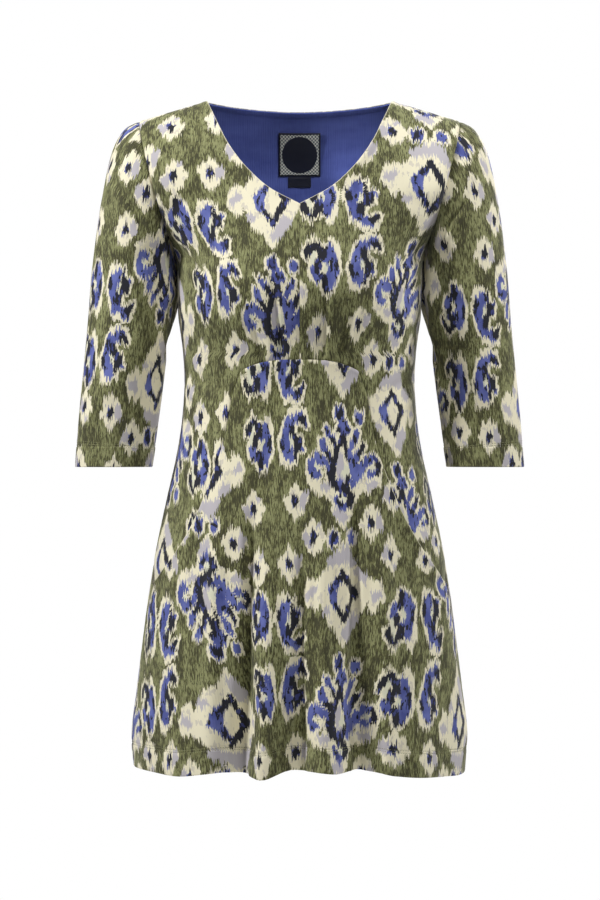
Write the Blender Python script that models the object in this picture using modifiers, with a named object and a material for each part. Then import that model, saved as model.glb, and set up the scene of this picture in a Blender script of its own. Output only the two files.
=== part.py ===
"""A flared tunic top in printed jersey, filled out as if worn, with no wearer inside.

It has a V neck, set-in three-quarter sleeves and a seam under the bust.  The seam turns down at its
ends and runs on as the edges of two slanted pockets, so the front skirt is one dome-shaped panel and
each upper front reaches down beside it to the hip.  Every panel is a wall of cloth, and its middle
surface is worked out from one body form.

Lengths are in millimetres.  +X is to the wearer's left, +Y to the back and +Z up, and the origin lies
between the two high shoulder points, where the shoulders of the wearer carry the garment.
A "drop" is a height below those points, and a "turn" is an angle round the body: 0 at the centre
front or centre back, and 90 degrees at the side seam or the armhole edge.
"""

import math
from collections import namedtuple

import bmesh
import bpy
import numpy as np

MM = 0.001  # metres in a millimetre
FRONT, BACK = -1, 1  # the way each face of the body looks along Y
RIGHT, LEFT = -1, 1  # the wearer's sides along X

# Driving dimensions of the garment
LENGTH = 840.0  # high shoulder point to hem
NECK_HALF_WIDTH = 117.0
NECK_FRONT_DROP = 139.0
NECK_BACK_DROP = 7.0
SHOULDER_HALF_WIDTH = 203.0
SHOULDER_DROP = 26.0
ARMPIT_DROP = 197.0
BUST_SEAM_DROP = 331.0  # the seam under the bust, at the centre front
CORNER_DROP = 345.0  # where that seam has turned down
CORNER_X = 73.0
MOUTH_TOP_DROP = 455.0  # the upper and lower ends of the pocket mouths
MOUTH_END_DROP = 616.0
SLEEVE_HEM_DROP = 463.0
CLOTH = 1.2  # the thickness of the jersey as built
SEAM_GAP = 0.3  # between the pieces that a seam joins

# How the body form rounds over the shoulder, and the armhole's depth front and back
FRONT_ROUND = 105.0
BACK_ROUND = 120.0
CROWN = 60.0  # how softly the line of the shoulders turns over at the middle
ARMHOLE_TURN_DROP = 112.0  # below this the armhole curves in to the armpit
ARMHOLE_ROUND = 1.4  # 0.5 curves it in as an ellipse, and more is gentler
ARMHOLE_REACH = 5.0  # how closely the edge alone follows the armhole, rather than the panel
ARMHOLE_DEPTH = {FRONT: 60.0, BACK: 68.0}

# The body form, from the shoulders to the hem: half width at the side seam or the armhole edge, depth
# at the centre front and centre back, and how pointed the section is between centre and edge.
Section = namedtuple("Section", "drop edge_x front back pointed")
BODY = (
    Section(drop=0, edge_x=203, front=72, back=74, pointed=1.2),
    Section(drop=26, edge_x=203, front=75, back=82, pointed=1.2),
    Section(drop=60, edge_x=197, front=82, back=92, pointed=1.2),
    Section(drop=95, edge_x=187.5, front=92, back=98, pointed=1.2),
    Section(drop=130, edge_x=178, front=103, back=101, pointed=1.15),
    Section(drop=165, edge_x=167.5, front=114, back=102, pointed=1.1),
    Section(drop=197, edge_x=157, front=121, back=101, pointed=1.05),
    Section(drop=235, edge_x=155, front=125, back=97.5, pointed=0.97),
    Section(drop=276, edge_x=153, front=119, back=92, pointed=0.9),
    Section(drop=307, edge_x=148.6, front=110, back=88, pointed=0.9),
    Section(drop=337, edge_x=146, front=105, back=86, pointed=0.9),
    Section(drop=360, edge_x=145.4, front=104, back=86, pointed=0.9),
    Section(drop=383, edge_x=146.7, front=105, back=88, pointed=0.9),
    Section(drop=413, edge_x=149.5, front=109, back=93, pointed=0.9),
    Section(drop=444, edge_x=154.5, front=113, back=99, pointed=0.9),
    Section(drop=505, edge_x=168, front=121, back=112, pointed=0.9),
    Section(drop=566, edge_x=181, front=128, back=121, pointed=0.9),
    Section(drop=627, edge_x=191, front=134, back=127, pointed=0.92),
    Section(drop=688, edge_x=199, front=139, back=132, pointed=0.95),
    Section(drop=749, edge_x=206.5, front=143, back=137, pointed=1.0),
    Section(drop=800, edge_x=212.5, front=146, back=141, pointed=1.0),
    Section(drop=840, edge_x=210, front=148, back=143, pointed=1.0),
    Section(drop=852, edge_x=209, front=148, back=143, pointed=1.0),
)

# Fullness over the bust, cut into the upper fronts
BUST_X, BUST_DROP, BUST_SPREAD, BUST_RISE = 78.0, 238.0, 46.0, 11.0

# The neckline's curve and the front skirt's edge, from the turned-down corner to the side seam
EdgePoint = namedtuple("EdgePoint", "drop x")
NECKLINE = (
    EdgePoint(drop=0, x=117),
    EdgePoint(drop=30, x=103.5),
    EdgePoint(drop=60, x=88.5),
    EdgePoint(drop=93, x=64),
    EdgePoint(drop=121, x=32.5),
    EdgePoint(drop=139, x=0),
)
SKIRT_EDGE = (
    EdgePoint(drop=345, x=73),
    EdgePoint(drop=372, x=83),
    EdgePoint(drop=400, x=88),
    EdgePoint(drop=430, x=94),
    EdgePoint(drop=455, x=101),
    EdgePoint(drop=493, x=115),
    EdgePoint(drop=522, x=126),
    EdgePoint(drop=548, x=139),
    EdgePoint(drop=571, x=153.5),
    EdgePoint(drop=594, x=171),
    EdgePoint(drop=616, x=189.2),
)

# Pleats let into the seam under the bust on each side: where each starts and ends
Pleat = namedtuple("Pleat", "seam_x top_x top_drop half_width depth")
PLEATS = (
    Pleat(seam_x=31, top_x=38, top_drop=236, half_width=10, depth=3.0),
    Pleat(seam_x=52, top_x=76, top_drop=222, half_width=12, depth=3.6),
)
PLEAT_RELEASE = 14.0  # the pleats lie flat at the seam and open within this height

# Soft folds of the skirt: x where each fades in and at the hem, and how far it stands out or in
Fold = namedtuple("Fold", "top_drop top_x hem_x half_width depth")
FRONT_FOLDS = (
    Fold(top_drop=560, top_x=-128, hem_x=-140, half_width=46, depth=6),
    Fold(top_drop=540, top_x=-62, hem_x=-80, half_width=34, depth=-12),
    Fold(top_drop=590, top_x=-30, hem_x=-40, half_width=38, depth=9),
    Fold(top_drop=600, top_x=0, hem_x=-4, half_width=30, depth=-9),
    Fold(top_drop=570, top_x=28, hem_x=32, half_width=34, depth=7),
    Fold(top_drop=530, top_x=62, hem_x=74, half_width=34, depth=-11),
    Fold(top_drop=560, top_x=118, hem_x=134, half_width=52, depth=9),
)
BACK_FOLDS = (
    Fold(top_drop=520, top_x=-92, hem_x=-132, half_width=46, depth=9),
    Fold(top_drop=500, top_x=-58, hem_x=-76, half_width=38, depth=-12),
    Fold(top_drop=540, top_x=-10, hem_x=-14, half_width=48, depth=9),
    Fold(top_drop=520, top_x=46, hem_x=58, half_width=36, depth=-11),
    Fold(top_drop=510, top_x=88, hem_x=118, half_width=48, depth=9),
)
FOLDS = {FRONT: FRONT_FOLDS, BACK: BACK_FOLDS}

# How far the hem dips below a level line, or rides above it, across the front and the back
HemPoint = namedtuple("HemPoint", "x dip")
FRONT_HEM = (
    HemPoint(x=-213, dip=2),
    HemPoint(x=-200, dip=2),
    HemPoint(x=-146, dip=4),
    HemPoint(x=-94, dip=-3),
    HemPoint(x=-69, dip=-1),
    HemPoint(x=-43, dip=3),
    HemPoint(x=-13, dip=-7),
    HemPoint(x=0, dip=-6.5),
    HemPoint(x=25, dip=-5.5),
    HemPoint(x=41, dip=-3.5),
    HemPoint(x=78, dip=-6),
    HemPoint(x=122, dip=2.5),
    HemPoint(x=186, dip=8.5),
    HemPoint(x=205, dip=10),
    HemPoint(x=213, dip=9),
)
BACK_HEM = (
    HemPoint(x=-213, dip=2),
    HemPoint(x=-130, dip=3),
    HemPoint(x=-76, dip=-3),
    HemPoint(x=-14, dip=2),
    HemPoint(x=58, dip=-3),
    HemPoint(x=130, dip=5),
    HemPoint(x=213, dip=9),
)
HEMS = {FRONT: FRONT_HEM, BACK: BACK_HEM}

# The sleeve, ring by ring from the armhole to its hem: the armpit side, the outer side, and the
# depth to the front and the back of the line between them
Ring = namedtuple("Ring", "inner_x inner_drop outer_x outer_drop front back")
SLEEVE = (
    Ring(inner_x=159, inner_drop=197, outer_x=203.4, outer_drop=26, front=60, back=68),
    Ring(inner_x=158.6, inner_drop=205, outer_x=218, outer_drop=32.5, front=62, back=69),
    Ring(inner_x=158.2, inner_drop=213, outer_x=227.5, outer_drop=43, front=63, back=69),
    Ring(inner_x=158, inner_drop=222, outer_x=236, outer_drop=59, front=62, back=68),
    Ring(inner_x=158, inner_drop=232, outer_x=243, outer_drop=82, front=60, back=65),
    Ring(inner_x=158.4, inner_drop=244, outer_x=249, outer_drop=112, front=58, back=62),
    Ring(inner_x=160.4, inner_drop=260, outer_x=254.5, outer_drop=145, front=56, back=59),
    Ring(inner_x=163.4, inner_drop=280, outer_x=259.5, outer_drop=183, front=54, back=56),
    Ring(inner_x=166.6, inner_drop=304, outer_x=264.3, outer_drop=226, front=52, back=54),
    Ring(inner_x=170.4, inner_drop=334, outer_x=268, outer_drop=276, front=50, back=51),
    Ring(inner_x=174.6, inner_drop=368, outer_x=272.6, outer_drop=328, front=48, back=48),
    Ring(inner_x=179.2, inner_drop=404, outer_x=277.6, outer_drop=382, front=45, back=46),
    Ring(inner_x=183.6, inner_drop=438, outer_x=281.4, outer_drop=428, front=43, back=44),
    Ring(inner_x=187, inner_drop=463, outer_x=284, outer_drop=463, front=42, back=43),
)
SLEEVE_FORWARD = 10.0  # how far the hem hangs in front of the armhole
ARMHOLE_BLEND_RINGS = 4  # the armhole's own outline fades into plain rings over these
ARMPIT_CLEAR = 2.0  # the sleeve's inner wall hangs this far outside the body's at the armpit

# Drag folds on the sleeve: ring and angle from the outer line, at each end
SleeveFold = namedtuple("SleeveFold", "ring_a angle_a ring_b angle_b half_angle depth")
SLEEVE_FOLDS = (
    SleeveFold(ring_a=2, angle_a=150, ring_b=7, angle_b=70, half_angle=20, depth=-3.6),
    SleeveFold(ring_a=4, angle_a=170, ring_b=9, angle_b=95, half_angle=18, depth=3.0),
    SleeveFold(ring_a=3, angle_a=215, ring_b=8, angle_b=285, half_angle=22, depth=-3.4),
    SleeveFold(ring_a=8, angle_a=190, ring_b=11, angle_b=110, half_angle=18, depth=-2.4),
)

# Pieces that lie inside the panels, and how far below the cloth's middle they lie
BEARER_INSET = 2.1  # the pocket's bearer, where it passes behind the mouth
BEARER_END_INSET = 2.2  # and how much more where the side seam takes it in
MOUTH_STEP = 6.0  # the height in which the bearer steps back below the mouth's upper end
BEARER_TUCK = 12.0  # how far it runs on behind the mouth
BEARER_SHIFT = 0.8  # how many columns the first one beyond the mouth's edge moves towards it
BEARER_END_DROP = 624.0
BAG_BOTTOM_DROP = 695.0
BAG_INNER_X = 84.0
FACING = 1.0  # the facing's thickness
FACING_INSET = 2.2
FACING_HALF_WIDTH = 160.0
FACING_BACK_DROP = 190.0
FACING_END_DROP = 62.0
LABEL = 0.8
LABEL_INSET = FACING_INSET + 1.5
LABEL_WIDTH, LABEL_TOP_DROP, LABEL_BOTTOM_DROP = 55.0, 30.0, 85.0
TAB_WIDTH, TAB_TOP_DROP, TAB_BOTTOM_DROP = 30.0, 85.8, 99.5

# How finely the panels are divided
SHOULDER_ROWS, ARMPIT_ROWS, BUST_ROWS = 7, 6, 8
SEAM_COLUMNS, SIDE_COLUMNS, BACK_COLUMNS = 12, 7, 12
PRINCESS_ROWS, MOUTH_ROWS, HEM_ROWS = 4, 8, 8


def along(rows, column, at, by="drop"):
    """The value of a table's column at a drop, or at an x, on a smooth curve through the rows."""
    places = np.array([getattr(row, by) for row in rows], float)
    values = np.array([getattr(row, column) for row in rows], float)
    slopes = np.gradient(values, places)
    at = float(np.clip(at, places[0], places[-1]))
    i = int(np.clip(np.searchsorted(places, at) - 1, 0, len(places) - 2))
    span = places[i + 1] - places[i]
    t = (at - places[i]) / span
    start = values[i] * (1 + 2 * t) * (1 - t) ** 2 + slopes[i] * span * t * (1 - t) ** 2
    end = values[i + 1] * t * t * (3 - 2 * t) - slopes[i + 1] * span * t * t * (1 - t)
    return start + end


def ease(t):
    """0 below 0, 1 above 1 and smooth between."""
    t = min(max(t, 0.0), 1.0)
    return t * t * (3 - 2 * t)


def mix(a, b, t):
    return a + (b - a) * t


def bump(distance, half_width):
    """1 on a fold's crest, 0 half a width away, and smooth between."""
    reach = min(abs(distance) / half_width, 1.0)
    return (1 + math.cos(math.pi * reach)) / 2


# ---- the body form ----


def shoulder_line(x):
    """The drop of the line of the shoulder seams, which rounds over between them."""
    neck, now, tip = (
        math.hypot(distance, CROWN) for distance in (NECK_HALF_WIDTH, x, SHOULDER_HALF_WIDTH)
    )
    return SHOULDER_DROP * (now - neck) / (tip - neck)


def top_of_front(turn):
    """The drop from which a column of the front starts: the shoulder seam, or the neck beside it."""
    return max(shoulder_line(SHOULDER_HALF_WIDTH * math.sin(turn)), 0.0)


def shoulder_rounding(face, x, drop):
    """0 on the shoulder line, rising to 1 where the body has rounded over below it."""
    reach = FRONT_ROUND if face == FRONT else BACK_ROUND
    left = 1 - min(max((drop - shoulder_line(x)) / reach, 0.0), 1.0)
    return math.sqrt(max(1 - left * left, 0.0))


def edge_depth(face, drop):
    """How far a panel's armhole edge stands off the line of the side seam."""
    below = (drop - ARMHOLE_TURN_DROP) / (ARMPIT_DROP - ARMHOLE_TURN_DROP)
    below = min(max(below, 0.0), 1.0)
    return ARMHOLE_DEPTH[face] * (1 - below * below) ** ARMHOLE_ROUND


def bust_rise(x, drop):
    across = (abs(x) - BUST_X) / BUST_SPREAD
    down = (drop - BUST_DROP) / BUST_SPREAD
    return BUST_RISE * math.exp(-(across * across + down * down) / 2)


def pleat_depth(x, drop):
    """The pleats above the seam under the bust, each a soft ridge beside a sharper hollow."""
    total = 0.0
    for pleat in PLEATS:
        climbed = (BUST_SEAM_DROP + 4 - drop) / (BUST_SEAM_DROP + 4 - pleat.top_drop)
        if not 0 < climbed < 1:
            continue
        opened = ease((BUST_SEAM_DROP + 2 - drop) / PLEAT_RELEASE)
        strength = opened * (1 - ease(climbed))
        off = abs(x) - mix(pleat.seam_x, pleat.top_x, climbed)
        ridge = bump(off - 0.5 * pleat.half_width, pleat.half_width)
        hollow = bump(off + 0.4 * pleat.half_width, 0.7 * pleat.half_width)
        total += pleat.depth * strength * (ridge - hollow)
    return total


def fold_depth(face, x, drop):
    total = 0.0
    for fold in FOLDS[face]:
        fallen = (drop - fold.top_drop) / (LENGTH - fold.top_drop)
        if fallen > 0:
            middle = mix(fold.top_x, fold.hem_x, fallen)
            total += fold.depth * ease(fallen) * bump(x - middle, fold.half_width)
    return total


def hung(face, turn, drop):
    """A drop near the hem, moved by the hem's dips, which fade out above it."""
    near = max((drop - MOUTH_END_DROP) / (LENGTH - MOUTH_END_DROP), 0.0)
    x = along(BODY, "edge_x", drop) * math.sin(turn)
    return drop + along(HEMS[face], "dip", x, by="x") * near * near


def turn_at(x, drop):
    """The turn at which the body form has that x."""
    share = min(max(x / along(BODY, "edge_x", drop), -1.0), 1.0)
    return math.asin(share)


def body_point(face, turn, drop):
    """A point of the cloth's middle surface."""
    x = along(BODY, "edge_x", drop) * math.sin(turn)
    centre = along(BODY, "front" if face == FRONT else "back", drop)
    edge = edge_depth(face, drop)
    level = max(math.cos(turn), 0.0) ** along(BODY, "pointed", drop)
    near_edge = abs(math.sin(turn)) ** ARMHOLE_REACH
    depth = (centre * level + edge * near_edge) * shoulder_rounding(face, x, drop)
    stand = fold_depth(face, x, drop) * ease(2.2 * math.cos(turn))
    if face == FRONT:
        depth += bust_rise(x, drop) * ease(1.6 * math.cos(turn)) + pleat_depth(x, drop)
    return np.array((x + stand * math.sin(turn), face * (depth + stand * math.cos(turn)), -drop))


def body_normal(face, turn, drop):
    """The outward direction there, from points a little to each side."""
    step, rise = math.radians(1.5), 2.0
    inner = min(max(turn, -math.pi / 2 + step), math.pi / 2 - step)
    lower = max(drop, shoulder_line(body_point(face, inner, drop)[0]) + rise + 0.5)
    across = body_point(face, inner + step, lower) - body_point(face, inner - step, lower)
    down = body_point(face, inner, lower + rise) - body_point(face, inner, lower - rise)
    normal = np.cross(across, down) * face
    return normal / np.linalg.norm(normal)


def inside(face, turn, drop, inset):
    """A point that far inside the cloth's middle surface."""
    return body_point(face, turn, drop) - inset * body_normal(face, turn, drop)


# ---- the heights at which the panels are divided ----


def armhole_drops():
    """From the shoulder tip to the armpit, closer where the armhole curves."""
    reach = ARMHOLE_TURN_DROP - SHOULDER_DROP
    whole = math.acos(1 - reach / FRONT_ROUND)
    drops = [
        SHOULDER_DROP + FRONT_ROUND * (1 - math.cos(whole * i / SHOULDER_ROWS))
        for i in range(SHOULDER_ROWS)
    ]
    fall = ARMPIT_DROP - ARMHOLE_TURN_DROP
    for i in range(ARMPIT_ROWS + 1):
        drops.append(ARMHOLE_TURN_DROP + fall * math.sin(math.pi / 2 * i / ARMPIT_ROWS))
    return drops


def evenly(first, last, count):
    """count drops after the first, up to the last."""
    return [mix(first, last, (i + 1) / count) for i in range(count)]


def closing(first, last, count):
    """count drops after the first, closer together towards the last."""
    return [mix(first, last, math.sin(math.pi / 2 * (i + 1) / count)) for i in range(count)]


ARMHOLE_DROPS = armhole_drops()
BUST_DROPS = evenly(ARMPIT_DROP, CORNER_DROP, BUST_ROWS)
POCKET_DROPS = [
    *evenly(CORNER_DROP, MOUTH_TOP_DROP, PRINCESS_ROWS),
    MOUTH_TOP_DROP + MOUTH_STEP,
    *closing(MOUTH_TOP_DROP + MOUTH_STEP, MOUTH_END_DROP, MOUTH_ROWS),
]
HEM_DROPS = evenly(MOUTH_END_DROP, LENGTH, HEM_ROWS)
SIDE_DROPS = [*ARMHOLE_DROPS, *BUST_DROPS, *POCKET_DROPS, *HEM_DROPS]


def fallen_share(drop):
    """How far down the armhole a drop lies, from 0 at the tip to 1 at the armpit."""
    return (drop - SHOULDER_DROP) / (ARMPIT_DROP - SHOULDER_DROP)


def seam_under_bust(x):
    """The drop of the seam under the bust, which bends down towards its corners."""
    return mix(BUST_SEAM_DROP, CORNER_DROP, (abs(x) / CORNER_X) ** 3)


# ---- making the solids ----


def cleared_collection(name):
    for obj in list(bpy.data.objects):
        bpy.data.objects.remove(obj)
    made = bpy.data.collections.new(name)
    bpy.context.scene.collection.children.link(made)
    return made


def cloth_material(name, colour, roughness):
    material = bpy.data.materials.new(name)
    material.use_nodes = True
    shader = material.node_tree.nodes["Principled BSDF"]
    shader.inputs["Base Color"].default_value = (*colour, 1.0)
    shader.inputs["Roughness"].default_value = roughness
    shader.inputs["Metallic"].default_value = 0.0
    shader.inputs["Sheen Weight"].default_value = 0.2
    return material


TUNIC = cleared_collection("tunic_top")
PRINTED_JERSEY = cloth_material("printed_jersey", (0.19, 0.20, 0.12), 0.85)
BLUE_JERSEY = cloth_material("blue_jersey", (0.035, 0.045, 0.23), 0.8)
WOVEN_LABEL = cloth_material("woven_label", (0.012, 0.014, 0.035), 0.6)


def add_grid(bm, columns, rows, place):
    """A grid of faces, its vertices put where place(column, row) says."""
    vertices = bmesh.ops.create_grid(bm, x_segments=columns, y_segments=rows, size=0.5)["verts"]
    for vertex in vertices:
        column = round((vertex.co.x + 0.5) * columns)
        row = round((0.5 - vertex.co.y) * rows)
        vertex.co = place(column, row) * MM


def cloth_piece(name, material, grids, thickness=CLOTH, mirrored=False):
    """A panel made of grids that share their edges, with the wall's thickness about them."""
    bm = bmesh.new()
    for columns, rows, place in grids:
        add_grid(bm, columns, rows, place)
    bmesh.ops.remove_doubles(bm, verts=bm.verts, dist=0.02 * MM)
    if mirrored:
        bmesh.ops.scale(bm, vec=(-1, 1, 1), verts=bm.verts)
    bmesh.ops.recalc_face_normals(bm, faces=bm.faces)
    mesh = bpy.data.meshes.new(name)
    bm.to_mesh(mesh)
    bm.free()
    mesh.materials.append(material)
    mesh.shade_smooth()
    piece = bpy.data.objects.new(name, mesh)
    TUNIC.objects.link(piece)
    wall = piece.modifiers.new("wall", "SOLIDIFY")
    wall.thickness = thickness * MM
    wall.offset = 0
    wall.use_quality_normals = True
    return piece


def pulled_back(points, at_start, at_end):
    """A row of points with its ends drawn in from the seams there."""
    gap = SEAM_GAP / 2
    if at_start:
        step = points[1] - points[0]
        points[0] = points[0] + step * (gap / np.linalg.norm(step))
    if at_end:
        step = points[-2] - points[-1]
        points[-1] = points[-1] + step * (gap / np.linalg.norm(step))
    return points


def placed_by(table):
    """The placing function of a table of rows of points, once its borders are drawn in."""
    rows = [pulled_back(list(row), True, True) for row in table]
    columns = [pulled_back(list(column), True, True) for column in zip(*rows)]
    return lambda column, row: columns[column][row]


# ---- the front ----


def mouth_x(drop):
    return along(SKIRT_EDGE, "x", drop)


def bearer_row(drop):
    """The turns across an upper front below the corner, from its inner edge to the side seam."""
    mouth = turn_at(mouth_x(min(drop, MOUTH_END_DROP)), drop)
    behind = ease((drop - MOUTH_TOP_DROP - MOUTH_STEP) / 18)
    tucked = turn_at(mouth_x(min(drop, MOUTH_END_DROP)) - BEARER_TUCK * behind, drop)
    turns = [tucked]
    for i in range(1, SIDE_COLUMNS + 1):
        share = (i - behind * BEARER_SHIFT) / (SIDE_COLUMNS - behind * BEARER_SHIFT)
        turns.append(mix(mouth, math.pi / 2, share))
    return turns


def bearer_inset(column, drop):
    """How far inside the body form the bearer lies, where it passes behind the skirt."""
    at_seam = ease((drop - MOUTH_END_DROP + 36) / 30)
    behind = 1.0 if drop > MOUTH_TOP_DROP and column < 2 else at_seam
    return BEARER_INSET * behind + BEARER_END_INSET * at_seam


def upper_front_rows():
    """Rows of points from the shoulder seam to the seam under the bust and on to the side seam."""
    seam_turns = [
        turn_at(CORNER_X * i / SEAM_COLUMNS, seam_under_bust(CORNER_X * i / SEAM_COLUMNS))
        for i in range(SEAM_COLUMNS)
    ]
    shares = [turn / (math.pi / 2) for turn in [*seam_turns, *bearer_row(CORNER_DROP)]]
    rows = []
    for side_drop in ARMHOLE_DROPS:
        fallen = fallen_share(side_drop)
        inner_drop = NECK_FRONT_DROP * fallen
        first = turn_at(along(NECKLINE, "x", inner_drop), inner_drop)
        row = []
        for share in shares:
            turn = mix(first, math.pi / 2, share)
            lowest = mix(NECK_FRONT_DROP, ARMPIT_DROP, share)
            row.append((turn, mix(top_of_front(turn), lowest, fallen)))
        rows.append(row)
    for side_drop in BUST_DROPS:
        gone = (side_drop - ARMPIT_DROP) / (CORNER_DROP - ARMPIT_DROP)
        middle_drop = mix(NECK_FRONT_DROP, BUST_SEAM_DROP, gone)
        row = []
        for share in shares:
            level = mix(share, min(share / shares[SEAM_COLUMNS], 1.0) ** 3, gone)
            row.append((share * math.pi / 2, mix(middle_drop, side_drop, level)))
        rows.append(row)
    return rows


def upper_front(name, mirrored):
    """One upper front: the bodice down to the seam, and the side that runs on behind the pocket."""
    bodice = [[body_point(FRONT, turn, drop) for turn, drop in row] for row in upper_front_rows()]
    side = [bodice[-1][SEAM_COLUMNS:]]
    for drop in [*POCKET_DROPS, BEARER_END_DROP]:
        side.append(
            [
                inside(FRONT, turn, drop, bearer_inset(column, drop))
                for column, turn in enumerate(bearer_row(drop))
            ]
        )
    gap = SEAM_GAP / 2
    for row in bodice:
        row[:] = pulled_back(row, True, True)
    for row in side[1:]:
        row[:] = pulled_back(row, True, True)
    side[0][-1] = bodice[-1][-1]
    top, below = bodice[0], bodice[1]
    for i, (point, under) in enumerate(zip(top, below)):
        top[i] = point + (under - point) * (gap / np.linalg.norm(under - point))
    for i in range(SEAM_COLUMNS + 1):
        step = bodice[-2][i] - bodice[-1][i]
        bodice[-1][i] = bodice[-1][i] + step * (gap / np.linalg.norm(step))
    side[0][0] = bodice[-1][SEAM_COLUMNS]
    columns = len(bodice[0]) - 1
    return cloth_piece(
        name,
        PRINTED_JERSEY,
        [
            (columns, len(bodice) - 1, lambda column, row: bodice[row][column]),
            (SIDE_COLUMNS, len(side) - 1, lambda column, row: side[row][column]),
        ],
        mirrored=mirrored,
    )


def front_skirt():
    """The dome-shaped front skirt, from the seam under the bust to the hem."""
    table = []
    for edge_drop in [CORNER_DROP, *POCKET_DROPS, *HEM_DROPS]:
        gone = (edge_drop - CORNER_DROP) / (LENGTH - CORNER_DROP)
        if edge_drop < MOUTH_END_DROP:
            edge_turn = turn_at(mouth_x(edge_drop), edge_drop)
        else:
            edge_turn = math.pi / 2
        row = []
        for i in range(-SEAM_COLUMNS, SEAM_COLUMNS + 1):
            x = CORNER_X * i / SEAM_COLUMNS
            drop = edge_drop - (CORNER_DROP - seam_under_bust(x)) * (1 - ease(2.5 * gone))
            turn = edge_turn * turn_at(x, seam_under_bust(x)) / turn_at(CORNER_X, CORNER_DROP)
            row.append(body_point(FRONT, turn, hung(FRONT, turn, drop)))
        table.append(row)
    return cloth_piece(
        "front_skirt",
        PRINTED_JERSEY,
        [(2 * SEAM_COLUMNS, len(table) - 1, placed_by(table))],
    )


# ---- the back and what lies inside it ----


def back_neckline(x):
    """The drop of the back neckline, and of the shoulder seam beyond it."""
    if abs(x) >= NECK_HALF_WIDTH:
        return shoulder_line(x)
    return NECK_BACK_DROP * (1 - (abs(x) / NECK_HALF_WIDTH) ** 2)


def back():
    """The whole back, from the neckline and shoulder seams to the hem."""
    table = []
    for side_drop in SIDE_DROPS:
        row = []
        for i in range(-BACK_COLUMNS, BACK_COLUMNS + 1):
            share = i / BACK_COLUMNS
            turn = math.pi / 2 * share
            drop = hung(BACK, turn, side_drop)
            if side_drop < ARMPIT_DROP:
                x = SHOULDER_HALF_WIDTH * math.sin(turn)
                drop = mix(back_neckline(x), ARMPIT_DROP, fallen_share(side_drop))
            row.append(body_point(BACK, turn, drop))
        table.append(row)
    return cloth_piece(
        "back", PRINTED_JERSEY, [(2 * BACK_COLUMNS, len(table) - 1, placed_by(table))]
    )


def back_facing():
    """The half-moon of plain jersey that faces the inside of the back below the neckline."""
    columns, rows = 20, 11

    def place(column, row):
        x = FACING_HALF_WIDTH * (2 * column / columns - 1)
        top = back_neckline(x) + 4
        share = abs(x) / FACING_HALF_WIDTH
        moon = math.sqrt(1 - (0.97 * share) ** 2)
        bottom = mix(FACING_END_DROP, FACING_BACK_DROP, moon)
        drop = mix(top, bottom, (row / rows) ** 1.5)
        return inside(BACK, turn_at(x, drop), drop, FACING_INSET)

    return cloth_piece("back_neck_facing", BLUE_JERSEY, [(columns, rows, place)], FACING)


def flat_label(name, width, top_drop, bottom_drop):
    """A small woven label that lies on the facing."""
    columns, rows = 4, 4

    def place(column, row):
        x = width * (column / columns - 0.5)
        drop = mix(top_drop, bottom_drop, row / rows)
        return inside(BACK, turn_at(x, drop), drop, LABEL_INSET)

    return cloth_piece(name, WOVEN_LABEL, [(columns, rows, place)], LABEL)


# ---- pockets and sleeves ----


def pocket_bag(name, mirrored):
    """The bag behind a pocket mouth, joined to the bearer's edge and rounded at the bottom."""
    mouth_drops = POCKET_DROPS[-MOUTH_ROWS:]
    drops = [*mouth_drops, BEARER_END_DROP, *evenly(BEARER_END_DROP, BAG_BOTTOM_DROP, 4)]
    columns = 8

    def place(column, row):
        drop = drops[row]
        outer = mouth_x(min(drop, MOUTH_END_DROP)) - BEARER_TUCK - 2 * SEAM_GAP
        rounding = ease((drop - BEARER_END_DROP + 30) / 100)
        inner = mix(BAG_INNER_X, outer - 40, rounding * rounding)
        x = mix(inner, outer, column / columns)
        return inside(FRONT, turn_at(x, drop), drop, bearer_inset(0, drop))

    return cloth_piece(name, PRINTED_JERSEY, [(columns, len(drops) - 1, place)], FACING, mirrored)


def armhole_loop():
    """The armhole's points, from the shoulder tip down the front and up the back."""
    front = [body_point(FRONT, math.pi / 2, drop) for drop in ARMHOLE_DROPS]
    rear = [body_point(BACK, math.pi / 2, drop) for drop in ARMHOLE_DROPS]
    return front + rear[-2:0:-1]


def loop_angles(loop):
    """An angle for each point of the loop, by its share of the way round."""
    closed = [*loop, loop[0]]
    steps = [np.linalg.norm(b - a) for a, b in zip(closed, closed[1:])]
    shares = np.cumsum([0.0, *steps[:-1]]) / sum(steps)
    return [2 * math.pi * share for share in shares]


def ring_point(ring, angle):
    """A point of a plain sleeve ring, its angle counted from the outer line by way of the front."""
    inner = np.array((ring.inner_x, 0.0, -ring.inner_drop))
    outer = np.array((ring.outer_x, 0.0, -ring.outer_drop))
    forward = SLEEVE_FORWARD * ease(ring.inner_drop / SLEEVE_HEM_DROP * 2 - 1)
    depth = ring.front if math.sin(angle) > 0 else ring.back
    point = (inner + outer) / 2 + (outer - inner) / 2 * math.cos(angle)
    point[1] = -depth * math.sin(angle) - forward
    return point


def sleeve_fold_depth(number, angle):
    degrees = math.degrees(angle) % 360
    total = 0.0
    for fold in SLEEVE_FOLDS:
        share = (number - fold.ring_a) / (fold.ring_b - fold.ring_a)
        if 0 < share < 1:
            middle = mix(fold.angle_a, fold.angle_b, share)
            strength = math.sin(math.pi * share)
            total += fold.depth * strength * bump(degrees - middle, fold.half_angle)
    return total


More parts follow.
